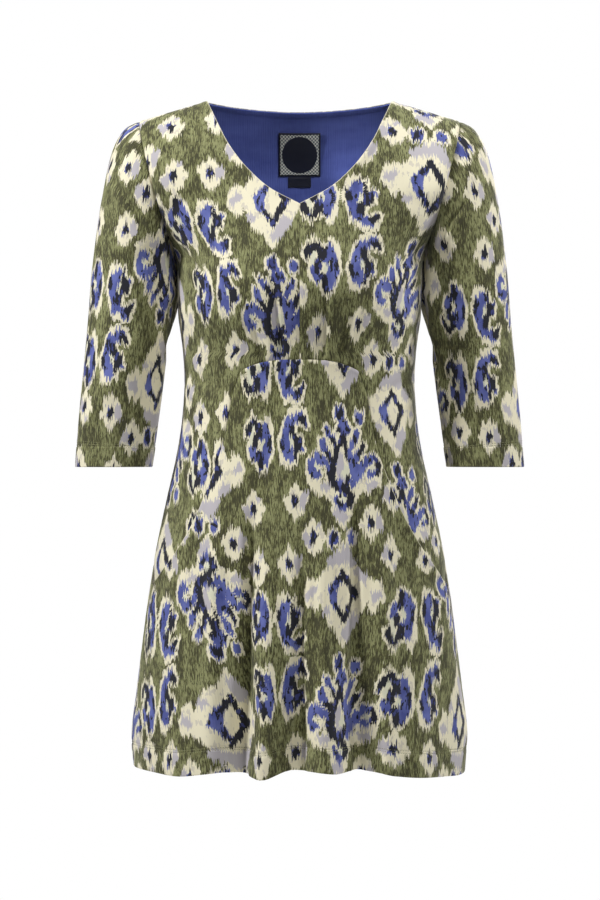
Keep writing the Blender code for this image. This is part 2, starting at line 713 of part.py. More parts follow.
def sleeve(name, mirrored):
    """A set-in sleeve, lofted from the armhole through its rings to the hem."""
    loop = armhole_loop()
    angles = loop_angles(loop)
    count = len(loop)

    def place(column, row):
        ring = SLEEVE[row]
        k = column % count
        angle = angles[k]
        centre = ring_point(ring, 0) / 2 + ring_point(ring, math.pi) / 2
        point = ring_point(ring, angle)
        out = (point - centre) / np.linalg.norm(point - centre)
        point = point + out * sleeve_fold_depth(row, angle)
        fade = max(1 - row / ARMHOLE_BLEND_RINGS, 0.0) ** 2
        own = loop[k] - ring_point(SLEEVE[0], angle)
        under = (1 - math.cos(angle)) / 2
        own[0] += SEAM_GAP + (ARMPIT_CLEAR - SEAM_GAP) * under
        return point + own * fade

    return cloth_piece(
        name, PRINTED_JERSEY, [(count, len(SLEEVE) - 1, place)], mirrored=mirrored
    )


def main():
    upper_front("upper_front_left", mirrored=False)
    upper_front("upper_front_right", mirrored=True)
    front_skirt()
    back()
    sleeve("sleeve_left", mirrored=False)
    sleeve("sleeve_right", mirrored=True)
    pocket_bag("pocket_bag_left", mirrored=False)
    pocket_bag("pocket_bag_right", mirrored=True)
    back_facing()
    flat_label("neck_label", LABEL_WIDTH, LABEL_TOP_DROP, LABEL_BOTTOM_DROP)
    flat_label("size_tab", TAB_WIDTH, TAB_TOP_DROP, TAB_BOTTOM_DROP)


main()
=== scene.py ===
# %% [markdown]
# # A flared tunic top in printed jersey
# This is a pull-on tunic: two upper fronts that meet in a V, a dome-shaped front skirt sewn on
# under the bust, a back in one piece, set-in three-quarter sleeves and two slanted pockets.
#
# A garment like this could be sewn from flat pieces by a cloth simulation. Here each cloth piece is
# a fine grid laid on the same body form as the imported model, because the model already holds the
# worn shape, and the simulation would only blur its seams and folds.

import bmesh
import bpy
import numpy as np
from mathutils import Matrix, Vector


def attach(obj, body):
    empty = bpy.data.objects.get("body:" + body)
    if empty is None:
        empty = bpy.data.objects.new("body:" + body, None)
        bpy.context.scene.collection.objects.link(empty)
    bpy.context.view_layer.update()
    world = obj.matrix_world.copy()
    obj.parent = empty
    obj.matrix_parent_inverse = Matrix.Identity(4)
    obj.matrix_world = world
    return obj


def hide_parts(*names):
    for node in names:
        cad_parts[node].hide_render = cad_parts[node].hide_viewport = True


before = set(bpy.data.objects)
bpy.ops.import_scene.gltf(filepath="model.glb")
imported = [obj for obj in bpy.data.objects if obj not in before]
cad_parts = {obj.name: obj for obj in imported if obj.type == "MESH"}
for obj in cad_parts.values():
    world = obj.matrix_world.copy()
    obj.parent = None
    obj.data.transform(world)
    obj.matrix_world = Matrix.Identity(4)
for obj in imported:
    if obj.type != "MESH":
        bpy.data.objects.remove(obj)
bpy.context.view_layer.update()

MM = 0.001  # metres in a millimetre
FRONT, BACK = -1, 1  # the way each face of the body looks along Y
print("Nodes of the packed model:", len(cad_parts))

# %% [markdown]
# ## The studio
# The camera stands level with the waist, 3.5 m in front. The tunic hangs where a standing wearer
# would hold it, so the floor is 1.42 m below the shoulders. One bright lamp could light it evenly.
# Four soft boxes are used, the strongest well to one side, because light that grazes the cloth
# leaves the insides of the sleeves and the troughs of the folds in shade. The backdrop is plain
# white to the camera, and lights the cloth only faintly, as a white wall some way behind would do.

# %% Helpers for objects and materials
def put(name, data):
    """A new object in the scene."""
    item = bpy.data.objects.new(name, data)
    bpy.context.scene.collection.objects.link(item)
    return item


def mesh_from(bm, name):
    mesh = bpy.data.meshes.new(name)
    bm.to_mesh(mesh)
    bm.free()
    return mesh


def hex_colour(code):
    """An sRGB hex value as the linear colour that Blender's nodes work in."""
    shares = np.array([int(code[i : i + 2], 16) / 255 for i in (1, 3, 5)])
    linear = np.where(shares <= 0.04045, shares / 12.92, ((shares + 0.055) / 1.055) ** 2.4)
    return (*linear.tolist(), 1.0)


def fill(tree, node, inputs):
    """Gives a node's sockets their values, or links them to the sockets that make them."""
    for socket, value in inputs.items():
        if isinstance(value, bpy.types.NodeSocket):
            tree.links.new(value, node.inputs[socket])
        else:
            node.inputs[socket].default_value = value


def add_node(tree, kind, inputs=None, **settings):
    """Adds one node, sets its properties and fills its sockets."""
    node = tree.nodes.new("ShaderNode" + kind)
    for name, value in settings.items():
        setattr(node, name, value)
    fill(tree, node, inputs or {})
    return node


def new_material(name):
    material = bpy.data.materials.new(name)
    material.use_nodes = True
    return material, material.node_tree, material.node_tree.nodes["Principled BSDF"]


print("Mid grey, as the nodes need it:", round(hex_colour("#808080")[0], 3))

# %% The camera
CAMERA_AWAY, CAMERA_DROP, CAMERA_ASIDE = 3.5, 0.4427, 0.0006
camera = put("camera", bpy.data.cameras.new("camera"))
camera.location = (CAMERA_ASIDE, -CAMERA_AWAY, -CAMERA_DROP)
camera.rotation_euler = (np.pi / 2, 0, 0)
camera.data.sensor_width = 36.0
camera.data.lens = 110.06  # 1.145 m of height fills the frame at the garment
bpy.context.scene.camera = camera
bpy.context.scene.view_settings.view_transform = "Standard"
print("Camera:", CAMERA_AWAY, "m in front,", CAMERA_DROP, "m below the shoulders")

# %% The floor
FLOOR_DROP = 1.42  # from the shoulders of a standing wearer to the floor
FLOOR_RADIUS = 2.3
bm = bmesh.new()
bmesh.ops.create_circle(bm, cap_ends=True, segments=96, radius=FLOOR_RADIUS)
bmesh.ops.translate(bm, vec=(0, 0, -FLOOR_DROP), verts=bm.verts)
floor = put("studio_floor", mesh_from(bm, "studio_floor"))
paint, tree, shader = new_material("matt white paint")
# the round of floor fades out at its rim, so that no line shows where the backdrop begins
place = add_node(tree, "TexCoord").outputs["Object"]
level = add_node(tree, "VectorMath", {0: place, 1: (1, 1, 0)}, operation="MULTIPLY")
radius = add_node(tree, "VectorMath", {0: level.outputs[0]}, operation="LENGTH")
fading = {0: radius.outputs["Value"], 1: 1.2, 2: FLOOR_RADIUS - 0.05, 3: 1.0, 4: 0.0}
solid = add_node(tree, "MapRange", fading, interpolation_type="SMOOTHSTEP").outputs[0]
fill(tree, shader, {"Base Color": hex_colour("#e4e4e1"), "Roughness": 0.9, "Alpha": solid})
floor.data.materials.append(paint)
print("Floor:", FLOOR_DROP, "m below the shoulders")

# %% The soft boxes and the backdrop
AIM = Vector((0, 0, -0.25))  # the soft boxes point at the bust
# name, place, watts, and size across in metres
for name, place, watts, size in (
    ("soft_box_right", (-1.95, -0.9, 1.1), 62, 0.4),
    ("soft_box_left", (2.0, -0.3, 0.6), 22, 0.5),
    ("soft_box_above", (0.6, -1.2, 1.0), 14, 0.5),
    ("soft_box_behind", (1.2, 2.3, 0.8), 42, 0.4),
):
    lamp = bpy.data.lights.new(name, "AREA")
    lamp.energy, lamp.shape, lamp.size = watts, "DISK", size
    soft_box = put(name, lamp)
    soft_box.location = place
    soft_box.rotation_euler = (AIM - Vector(place)).to_track_quat("-Z", "Y").to_euler()

world = bpy.data.worlds.new("white studio")
world.use_nodes = True
bpy.context.scene.world = world
tree = world.node_tree
direction = add_node(tree, "SeparateXYZ", {0: add_node(tree, "TexCoord").outputs["Generated"]})
behind = add_node(tree, "MapRange", {0: direction.outputs["Y"], 1: -0.3, 2: 0.8, 3: 0.04, 4: 0.2})
above = add_node(tree, "MapRange", {0: direction.outputs["Z"], 1: 0.1, 2: 1.0, 3: 0.0, 4: 0.2})
glow = add_node(tree, "Math", {0: behind.outputs[0], 1: above.outputs[0]}).outputs[0]
seen = add_node(tree, "LightPath").outputs["Is Camera Ray"]
glow = add_node(tree, "Mix", {0: seen, 2: glow, 3: 1.0}).outputs[0]
fill(tree, tree.nodes["Background"], {"Color": hex_colour("#ffffff"), "Strength": glow})
print("Soft boxes:", len(bpy.data.lights))

# %% [markdown]
# ## The body form
# Every panel lies on one worn form, given by sections from the shoulders to the hem. It could be
# sculpted, but a table of sections can be corrected one number at a time. A "drop" is a height
# below the shoulders and a "turn" is an angle round the body: 0 at the centre front or back, and a
# right angle at the side seam. All values are in millimetres, and they are the same as the packed
# model's, so that each cloth piece lies where its solid does.

# %% The measurements of the form
LENGTH = 840.0
NECK_HALF_WIDTH, NECK_FRONT_DROP, NECK_BACK_DROP = 117.0, 139.0, 7.0
SHOULDER_HALF_WIDTH, SHOULDER_DROP, ARMPIT_DROP = 203.0, 26.0, 197.0
BUST_SEAM_DROP, CORNER_DROP, CORNER_X = 331.0, 345.0, 73.0
MOUTH_TOP_DROP, MOUTH_END_DROP = 455.0, 616.0
SEAM_GAP = 0.3  # between two panels
CLOTH = 1.0  # thickness of the jersey
CROWN = 60.0  # how roundly the line of the shoulder seams starts to fall
ROUND = {FRONT: 105.0, BACK: 120.0}  # how far down each face the shoulder rounds over
ARMHOLE_TURN_DROP, ARMHOLE_ROUND, ARMHOLE_REACH = 112.0, 1.4, 5.0
ARMHOLE_DEPTH = {FRONT: 60.0, BACK: 68.0}  # from the side seam's line to the armhole's edge
BUST_X, BUST_DROP, BUST_SPREAD, BUST_RISE = 78.0, 238.0, 46.0, 11.0

# drop, half width, front depth, back depth, and how pointed the section is
BODY = np.array(
    [
        (0, 203, 72, 74, 1.2),
        (26, 203, 75, 82, 1.2),
        (60, 197, 82, 92, 1.2),
        (95, 187.5, 92, 98, 1.2),
        (130, 178, 103, 101, 1.15),
        (165, 167.5, 114, 102, 1.1),
        (197, 157, 121, 101, 1.05),
        (235, 155, 125, 97.5, 0.97),
        (276, 153, 119, 92, 0.9),
        (307, 148.6, 110, 88, 0.9),
        (337, 146, 105, 86, 0.9),
        (360, 145.4, 104, 86, 0.9),
        (383, 146.7, 105, 88, 0.9),
        (413, 149.5, 109, 93, 0.9),
        (444, 154.5, 113, 99, 0.9),
        (505, 168, 121, 112, 0.9),
        (566, 181, 128, 121, 0.9),
        (627, 191, 134, 127, 0.92),
        (688, 199, 139, 132, 0.95),
        (749, 206.5, 143, 137, 1.0),
        (800, 212.5, 146, 141, 1.0),
        (840, 210, 148, 143, 1.0),
        (852, 209, 148, 143, 1.0),
    ]
)
EDGE_X, FRONT_DEPTH, BACK_DEPTH, POINTED = range(1, 5)  # columns of that table
# drop and x of the neckline, and of the front skirt's edge down to the side seam
NECKLINE = np.array([(0, 117), (30, 103.5), (60, 88.5), (93, 64), (121, 32.5), (139, 0.0)])
SKIRT_EDGE = np.array(
    [(345, 73), (372, 83), (400, 88), (430, 94), (455, 101), (493, 115), (522, 126)]
    + [(548, 139), (571, 153.5), (594, 171), (616, 189.2)]
)
# pleats let into the seam under the bust: x at the seam, x and drop of the top, half width, depth
PLEATS = ((31, 38, 236, 10, 3.0), (52, 76, 222, 12, 3.6))
PLEAT_RELEASE = 14.0  # above the seam, a pleat reaches its full depth in this height
# folds of the skirt: drop and x where each starts, x at the hem, half width, depth
FOLDS = {
    FRONT: (
        (560, -128, -140, 46, 6),
        (540, -62, -80, 34, -12),
        (590, -30, -40, 38, 9),
        (600, 0, -4, 30, -9),
        (570, 28, 32, 34, 7),
        (530, 62, 74, 34, -11),
        (560, 118, 134, 52, 9),
    ),
    BACK: (
        (520, -92, -132, 46, 9),
        (500, -58, -76, 38, -12),
        (540, -10, -14, 48, 9),
        (520, 46, 58, 36, -11),
        (510, 88, 118, 48, 9),
    ),
}
# x, and how far the hem dips below a level line there
HEMS = {
    FRONT: np.array(
        [(-213, 2), (-200, 2), (-146, 4), (-94, -3), (-69, -1), (-43, 3), (-13, -7), (0, -6.5)]
        + [(25, -5.5), (41, -3.5), (78, -6), (122, 2.5), (186, 8.5), (205, 10), (213, 9)]
    ),
    BACK: np.array([(-213, 2), (-130, 3), (-76, -3), (-14, 2), (58, -3), (130, 5), (213, 9)]),
}
print("Form:", len(BODY), "sections;", sum(map(len, FOLDS.values())), "skirt folds")


# %% Small helpers for shapes
def along(table, column, at):
    """A column of a table, on a smooth curve through its rows; the first column is the place."""
    places, values = table[:, 0], table[:, column]
    slopes = np.gradient(values, places)
    at = np.clip(at, places[0], places[-1])
    i = np.clip(np.searchsorted(places, at) - 1, 0, len(places) - 2)
    span = places[i + 1] - places[i]
    t = (at - places[i]) / span
    start = values[i] * (1 + 2 * t) * (1 - t) ** 2 + slopes[i] * span * t * (1 - t) ** 2
    end = values[i + 1] * t * t * (3 - 2 * t) - slopes[i + 1] * span * t * t * (1 - t)
    return start + end


def ease(t):
    """0 below 0, 1 above 1 and smooth between."""
    t = np.clip(t, 0, 1)
    return t * t * (3 - 2 * t)


def mix(a, b, t):
    return a + (b - a) * t


def bump(distance, half_width):
    """1 on a fold's crest, 0 half a width away, and smooth between."""
    return (1 + np.cos(np.pi * np.minimum(np.abs(distance) / half_width, 1))) / 2


def bell(distance, width):
    return np.exp(-((distance / width) ** 2))


print("A fold at a quarter of its width:", round(float(bump(5.0, 10.0)), 2))

# %% The form itself
def shoulder_line(x):
    """The drop of the line of the shoulder seams, which rounds over between them."""
    neck, now, tip = (np.hypot(at, CROWN) for at in (NECK_HALF_WIDTH, x, SHOULDER_HALF_WIDTH))
    return SHOULDER_DROP * (now - neck) / (tip - neck)


def shoulder_rounding(face, x, drop):
    left = 1 - np.clip((drop - shoulder_line(x)) / ROUND[face], 0, 1)
    return np.sqrt(np.maximum(1 - left * left, 0))


def edge_depth(face, drop):
    """How far a panel's armhole edge stands off the line of the side seam."""
    below = np.clip((drop - ARMHOLE_TURN_DROP) / (ARMPIT_DROP - ARMHOLE_TURN_DROP), 0, 1)
    return ARMHOLE_DEPTH[face] * (1 - below * below) ** ARMHOLE_ROUND


def bust_rise(x, drop):
    across, down = (np.abs(x) - BUST_X) / BUST_SPREAD, (drop - BUST_DROP) / BUST_SPREAD
    return BUST_RISE * np.exp(-(across**2 + down**2) / 2)


def pleat_depth(x, drop):
    """The pleats above the seam under the bust, each a soft ridge beside a sharper hollow."""
    total = 0.0
    for seam_x, top_x, top_drop, half_width, depth in PLEATS:
        climbed = (BUST_SEAM_DROP + 4 - drop) / (BUST_SEAM_DROP + 4 - top_drop)
        strength = ease((BUST_SEAM_DROP + 2 - drop) / PLEAT_RELEASE) * (1 - ease(climbed))
        strength = np.where((climbed > 0) & (climbed < 1), strength, 0.0)
        off = np.abs(x) - mix(seam_x, top_x, climbed)
        ridge = bump(off - 0.5 * half_width, half_width)
        total = total + depth * strength * (ridge - bump(off + 0.4 * half_width, 0.7 * half_width))
    return total


def fold_depth(face, x, drop):
    total = 0.0
    for top_drop, top_x, hem_x, half_width, depth in FOLDS[face]:
        fallen = (drop - top_drop) / (LENGTH - top_drop)
        total = total + depth * ease(fallen) * bump(x - mix(top_x, hem_x, fallen), half_width)
    return total


def turn_at(x, drop):
    """The turn at which the body form has that x."""
    return np.arcsin(np.clip(x / along(BODY, EDGE_X, drop), -1, 1))


def hung(face, turn, drop):
    """A drop near the hem, moved by the hem's dips, which fade out above it."""
    near = np.maximum((drop - MOUTH_END_DROP) / (LENGTH - MOUTH_END_DROP), 0)
    x = along(BODY, EDGE_X, drop) * np.sin(turn)
    return drop + along(HEMS[face], 1, x) * near * near


def body_point(face, turn, drop):
    """Points of the cloth's middle surface, for arrays of turns and drops."""
    turn, drop = np.broadcast_arrays(np.asarray(turn, float), np.asarray(drop, float))
    x = along(BODY, EDGE_X, drop) * np.sin(turn)
    centre = along(BODY, FRONT_DEPTH if face == FRONT else BACK_DEPTH, drop)
    level = np.maximum(np.cos(turn), 0) ** along(BODY, POINTED, drop)
    near_edge = np.abs(np.sin(turn)) ** ARMHOLE_REACH
    depth = (centre * level + edge_depth(face, drop) * near_edge) * shoulder_rounding(face, x, drop)
    stand = fold_depth(face, x, drop) * ease(2.2 * np.cos(turn))
    if face == FRONT:
        depth = depth + bust_rise(x, drop) * ease(1.6 * np.cos(turn)) + pleat_depth(x, drop)
    return np.stack(
        (x + stand * np.sin(turn), face * (depth + stand * np.cos(turn)), -drop), axis=-1
    )


def body_normal(face, turn, drop):
    """The outward direction there, from points a little to each side."""
    step, rise = np.radians(1.5), 2.0
    inner = np.clip(turn, -np.pi / 2 + step, np.pi / 2 - step)
    lower = np.maximum(drop, shoulder_line(body_point(face, inner, drop)[..., 0]) + rise + 0.5)
    across = body_point(face, inner + step, lower) - body_point(face, inner - step, lower)
    down = body_point(face, inner, lower + rise) - body_point(face, inner, lower - rise)
    normal = np.cross(across, down) * face
    return normal / np.linalg.norm(normal, axis=-1, keepdims=True)


print("Waist across in mm:", round(2 * float(along(BODY, EDGE_X, 360)), 1))

# %% [markdown]
# ## Creases of wear
# Jersey hangs in broad soft folds, and drags in short diagonal creases from each armpit and side
# seam. They could be simulated, but each is drawn here as a line on the body with a soft trough or
# ridge about it, because a drawn crease lies exactly where a tailor would expect it, and the same
# function moves every layer beneath by the same amount.

# %% Creases on the body
# each crease: x and drop of its two ends, half width and depth, a trough being negative
CREASES = {
    FRONT: (
        (-158, 188, -108, 232, 11, -3.2),
        (-160, 206, -118, 262, 10, -2.8),
        (158, 190, 112, 228, 11, -3.2),
        (160, 210, 122, 270, 10, -2.8),
        (-24, 326, -36, 200, 7, -3.4),
        (-62, 328, -74, 232, 7, -3.4),
        (26, 326, 33, 206, 7, -3.8),
        (60, 328, 84, 236, 8, -3.0),
        (-150, 340, -92, 372, 12, -2.6),
        (-148, 366, -84, 408, 13, 2.2),
        (150, 344, 96, 380, 12, -2.6),
        (146, 372, 92, 420, 13, 2.2),
        (-186, 604, -112, 700, 20, -3.4),
        (186, 600, 116, 690, 20, -3.4),
        (-30, 372, -50, 540, 16, -2.6),
        (34, 380, 46, 560, 16, -2.6),
        (-96, 470, -104, 640, 20, 2.8),
        (92, 480, 108, 640, 20, 2.8),
        (-60, 540, -80, 1000, 12, -14.0),
        (3, 585, -4, 1000, 11, -11.0),
        (67, 532, 76, 1000, 12, -13.0),
        (-104, 580, -118, 1000, 18, 5.0),
        (-38, 570, -48, 1000, 16, 7.0),
        (28, 580, 34, 1000, 15, 7.0),
        (100, 570, 118, 1000, 18, 7.0),
        (-170, 150, -120, 120, 14, -2.2),
        (172, 152, 124, 118, 14, -2.2),
        (-96, 60, -60, 150, 12, -1.8),
        (98, 60, 58, 152, 12, -1.8),
    ),
    BACK: (
        (-156, 186, -96, 226, 13, -3.4),
        (156, 188, 100, 236, 13, -3.4),
        (-158, 214, -110, 276, 11, -2.6),
        (158, 216, 104, 282, 12, -2.6),
        (-146, 336, -30, 352, 14, -3.4),
        (146, 330, 20, 368, 14, -3.4),
        (-144, 362, -50, 392, 12, 2.4),
        (144, 360, 56, 398, 12, 2.4),
        (-60, 392, -80, 560, 20, -3.2),
        (62, 396, 70, 560, 20, -3.2),
        (-10, 400, 4, 580, 26, 1.8),
        (-80, 70, -104, 170, 18, -1.4),
        (84, 72, 98, 176, 18, -1.4),
        (-184, 600, -110, 690, 22, -2.0),
        (186, 604, 118, 700, 22, -3.0),
        (-84, 540, -80, 1000, 16, -7.0),
        (54, 530, 62, 1000, 16, -7.0),
        (-34, 560, -46, 1000, 18, 4.0),
        (96, 560, 110, 1000, 18, 4.5),
        (-120, 560, -138, 1000, 18, 4.0),
        (8, 600, 12, 1000, 14, -4.5),
    ),
}


def crease_depth(x, drop, creases):
    """How far the creases move the cloth at each place, tapering off at their ends."""
    total = 0.0
    for x_a, drop_a, x_b, drop_b, half_width, depth in creases:
        run = np.array((x_b - x_a, drop_b - drop_a), float)
        t = ((x - x_a) * run[0] + (drop - drop_a) * run[1]) / (run @ run)
        off = ((x - x_a) * run[1] - (drop - drop_a) * run[0]) / np.linalg.norm(run)
        wander = 1 + 0.25 * np.sin(9 * t + x_a)
        fade = ease(4.5 * (t + 0.12)) * ease(2.2 * (1 - t))
        total = total + depth * fade * bump(off, half_width * wander)
    return total


def ripple(x, drop, seed):
    """The faint unevenness of a hanging knit, about 50 mm from crest to crest."""
    total = 0.0
    for i in range(5):
        angle = 0.7 * i + seed
        pull = np.array((np.cos(angle), 0.45 * np.sin(angle))) / (9.0 + 3.1 * i)
        total = total + np.sin(x * pull[0] + drop * pull[1] + 2.3 * i + seed) * (0.10 + 0.05 * i)
    return total


def worn_point(face, turn, drop, inset=0.0):
    """A point of the worn cloth, with its creases, that far inside the middle surface."""
    point = body_point(face, turn, drop)
    normal = body_normal(face, turn, drop)
    x = point[..., 0]
    stand = crease_depth(x, drop, CREASES[face]) + ripple(x, drop, 2.0 + face)
    clear = ease(1.8 * np.cos(turn)) * ease((drop - shoulder_line(x)) / 40)
    return point + normal * (stand * clear - inset)[..., None]


print("Creases:", {face: len(rows) for face, rows in CREASES.items()})

# %% [markdown]
# ## The flat cut
# A print lies on flat cloth, so each place on the body needs its place in the flat cut. An unwrap
# could find it, but would turn and scale each panel in its own way. Here the lengths round the body
# and down it are added up once, in a fine table for each face, so all panels share one grain.

# %% The flat cut of the body
STEP_DEGREES, STEP_DROP = 1.0, 3.0


def flat_table(face):
    turns = np.radians(np.arange(-90, 90.5, STEP_DEGREES))
    drops = np.arange(0, LENGTH + 24, STEP_DROP)
    points = body_point(face, turns[None, :], drops[:, None])
    round_it = np.hypot(*np.moveaxis(np.diff(points, axis=1)[..., :2], -1, 0))
    across = np.pad(np.cumsum(round_it, axis=1), ((0, 0), (1, 0)))
    across -= across[:, len(turns) // 2, None]
    fall = np.linalg.norm(np.diff(points, axis=0), axis=2)
    down = np.pad(np.cumsum(fall, axis=0), ((1, 0), (0, 0)))
    down += CORNER_DROP - down[round(CORNER_DROP / STEP_DROP)]
    return np.stack((across, -down), axis=-1)


FLAT = {face: flat_table(face) for face in (FRONT, BACK)}


def flat_place(face, turn, drop):
    """Where a place of the body lies on the flat cloth, x to the wearer's left and y up."""
    turn, drop = np.broadcast_arrays(turn, drop)
    table = FLAT[face]
    i = np.clip(drop / STEP_DROP, 0, len(table) - 1.001)
    j = np.clip((np.degrees(turn) + 90) / STEP_DEGREES, 0, table.shape[1] - 1.001)
    top, left = i.astype(int), j.astype(int)
    s, t = (i - top)[..., None], (j - left)[..., None]
    upper = mix(table[top, left], table[top, left + 1], t)
    lower = mix(table[top + 1, left], table[top + 1, left + 1], t)
    return mix(upper, lower, s)


hem_round = sum(np.ptp(FLAT[face][round(LENGTH / STEP_DROP), :, 0]) for face in FLAT)
print("Round the hem in mm:", round(float(hem_round)))

# %% [markdown]
# ## The print
# The cloth carries a traditional ikat: sprigs, stepped lozenges, rosettes and paired hooks. In a
# real ikat the threads are dyed in bundles before weaving, so that every outline breaks up into
# short vertical streaks. The motifs here are this script's own drawing, laid in a plain half-drop
# repeat in which every second one hangs upside down.
#
# A print could be an image, or pure shader maths. Here each motif is a few brush strokes, and the
# mesh stores how deep each corner lies inside every colour's strokes, in millimetres. The shader
# adds the streaks to those depths, so the edges are sharper than the mesh.

# %% The motifs
REPEAT = np.array((344.0, 308.0))
HALF_DROP = REPEAT / 2

# each stroke: points of x, y and half width, in mm
SPRIG = {
    "blue": [
        [(-3, 54, 4), (1, 58, 6), (4, 51, 6.5), (1, 44, 3)],
        [(-21, 53, 2.6), (-17, 46, 4.2), (-12, 39, 3.4)],
        [(-26, 38, 3.6), (-24, 29, 4.8), (-20, 22, 3)],
        [(-19, 8, 4), (-25, 12, 5.4), (-32, 17, 6.8), (-38, 10, 5.6), (-39, 0, 5), (-35, -7, 5.6)],
        [(-35, -7, 5.6), (-30, -4, 3.6)],
        [(-18, 6, 3), (-17, -2, 3)],
        [(19, 48, 3), (15, 39, 4.8), (11, 30, 3.4)],
        [(8, 25, 3), (11, 14, 5), (13, 4, 6), (14, -7, 3.4)],
        [(21, 23, 4.4), (14, 11, 6)],
        [(40, 15, 4.6), (33, 12, 5.4), (25, 4, 6), (20, -5, 5), (18, -13, 3)],
        [(42, 0, 3.6), (36, -4, 5)],
        [(12, -14, 5.6), (13, -20, 3)],
        [(-4, -13, 4), (-3, -19, 3.4)],
        [(-9, -33, 3), (-8, -39, 3.6), (0, -45, 6), (7, -42, 4)],
    ],
    "dark": [
        [(-15, 42, 2.4), (-10, 34, 3), (-7, 27, 3.6), (-9, 18, 3.8), (-12, 8, 4), (-13, -6, 4)],
        [(-13, -6, 4), (-12, -15, 5.4), (-8, -21, 4)],
        [(0, 44, 4), (-2, 33, 3.4), (-7, 25, 3.4)],
        [(2, 40, 2.8), (4, 28, 2.2), (4, 18, 1.6)],
        [(-20, 23, 3), (-15, 16, 4), (-11, 10, 3.6)],
        [(-18, -1, 3), (-14, -12, 4.4)],
        [(-5, 50, 3.6)],
        [(7, 51, 2.6)],
        [(26, 31, 3.6), (22, 21, 3.6)],
        [(43, 14, 2.6), (47, 4, 3.6), (45, -5, 2.8)],
        [(7, -7, 2.4), (4, -17, 4.6), (0, -24, 5), (-2, -30, 3.4)],
        [(3, -24, 5), (10, -33, 5.6), (8, -43, 4.2)],
        [(-6, -38, 3), (-4, -43, 2.6)],
    ],
    "cream": [
        [(0, 28, 2), (0, 16, 6), (2, 3, 9.5), (1, -8, 8), (2, -15, 3)],
        [(-43, -6, 3), (-38, -15, 7), (-29, -20, 9.5), (-20, -25, 7.5), (-12, -34, 5)],
        [(49, -7, 3), (43, -16, 7), (33, -18, 10), (23, -20, 8.5), (15, -29, 5.5)],
        [(-9, -46, 6), (0, -57, 10), (1, -70, 3.5)],
        [(9, -52, 5)],
    ],
    "lilac": [
        [(-3, 16, 4), (-3, 6, 5), (-4, -4, 4)],
        [(2, -10, 4)],
        [(-20, -21, 5), (-26, -17, 3)],
        [(38, -19, 6), (31, -17, 3)],
        [(-7, -53, 6), (0, -59, 6)],
    ],
    "eye": [[(4, 5, 3.6), (3, -2, 5)], [(1, -34, 3.8)], [(-33, 5, 3.4)], [(38, 4, 3.4)]],
}
LOZENGE = {
    "blue": [[(-3, 22, 3), (-14, 6, 6), (-12, -8, 5), (-4, -22, 2.5)]],
    "dark": [
        [(-1, 30, 3.5), (8, 15, 4), (16, 2, 5.5), (9, -13, 4.2), (1, -31, 3.5)],
        [(-4, 22, 3), (-9, 13, 2.5)],
        [(-10, -9, 2.5), (-3, -24, 3.5)],
    ],
    "cream": [
        [(0, 60, 5), (0, 38, 18), (0, 6, 34), (0, -24, 23), (0, -48, 9), (0, -62, 3)],
        [(-36, 12, 11), (-40, 0, 9), (-36, -14, 5)],
        [(36, 9, 11), (41, -3, 9), (37, -17, 5)],
    ],
    "lilac": [
        [(-40, 3, 6), (-36, 9, 4)],
        [(41, -1, 6)],
        [(-14, 42, 7), (5, 50, 9), (14, 40, 5)],
        [(15, -30, 7), (4, -48, 6)],
        [(-22, -20, 5)],
        [(25, 22, 6), (20, 30, 4)],
    ],
}
PETALS = [[(0, 20, 2.5), (0, 9, 10), (0, -8, 11), (0, -20, 3)], [(-9, 2, 6.5), (9, 0, 6.5)]]
HEART = {
    "dark": [[(0, 6, 2), (0, 0, 4.4), (0, -7, 1.6)]],
    "blue": [[(-2, 5, 3), (-2, -4, 2.8)]],
}
ROSETTE = {**HEART, "cream": PETALS, "lilac": [[(10, 6, 5), (9, -5, 3.5)]]}
LEFT_ROSETTE = {**HEART, "cream": PETALS, "lilac": [[(-10, 1, 4.6), (-8, -8, 3.5)], [(5, 14, 3)]]}
DOT = {"blue": [[(0, 3, 5.2), (0, -3, 5.2)]]}
DARK_DOT = {"blue": [[(0, 4, 6), (0, -4, 6)]], "dark": [[(1, 3, 4.4), (-1, -4, 3.5)]]}
CLOSED_HOOK = {
    "blue": [
        [(6, 25, 3.7), (8, 14, 5.2), (9, -3, 6.2), (6, -13, 6.2), (4, -23, 4.7)],
        [(1, 11, 5.2), (4, 7, 4.2)],
        [(-10, -3, 4.7), (-8, -13, 5)],
    ],
    "dark": [
        [(-16, 13, 2.7), (-15, 20, 3.7), (-9, 30, 4.3), (-2, 23, 4.7), (-1, 13, 4.1)],
        [(-7, 10, 3.7), (-6, 0, 4.1)],
        [(12, 11, 2.1), (12, -3, 2.3)],
        [(-2, -10, 4.3), (0, -19, 3.9), (1, -30, 2.7)],
    ],
    "cream": [
        [(8, 36, 3.4), (12, 27, 4.4), (14, 17, 3.2)],
        [(-10, 40, 1.9), (-9, 34, 2.9)],
        [(-13, 3, 3.4), (-13, -3, 2.4)],
    ],
    "eye": [[(-9, 22, 1.7), (-11, 11, 2.3), (-12, 2, 1.4)], [(3, 3, 1.7), (1, -4, 1.9)]],
}
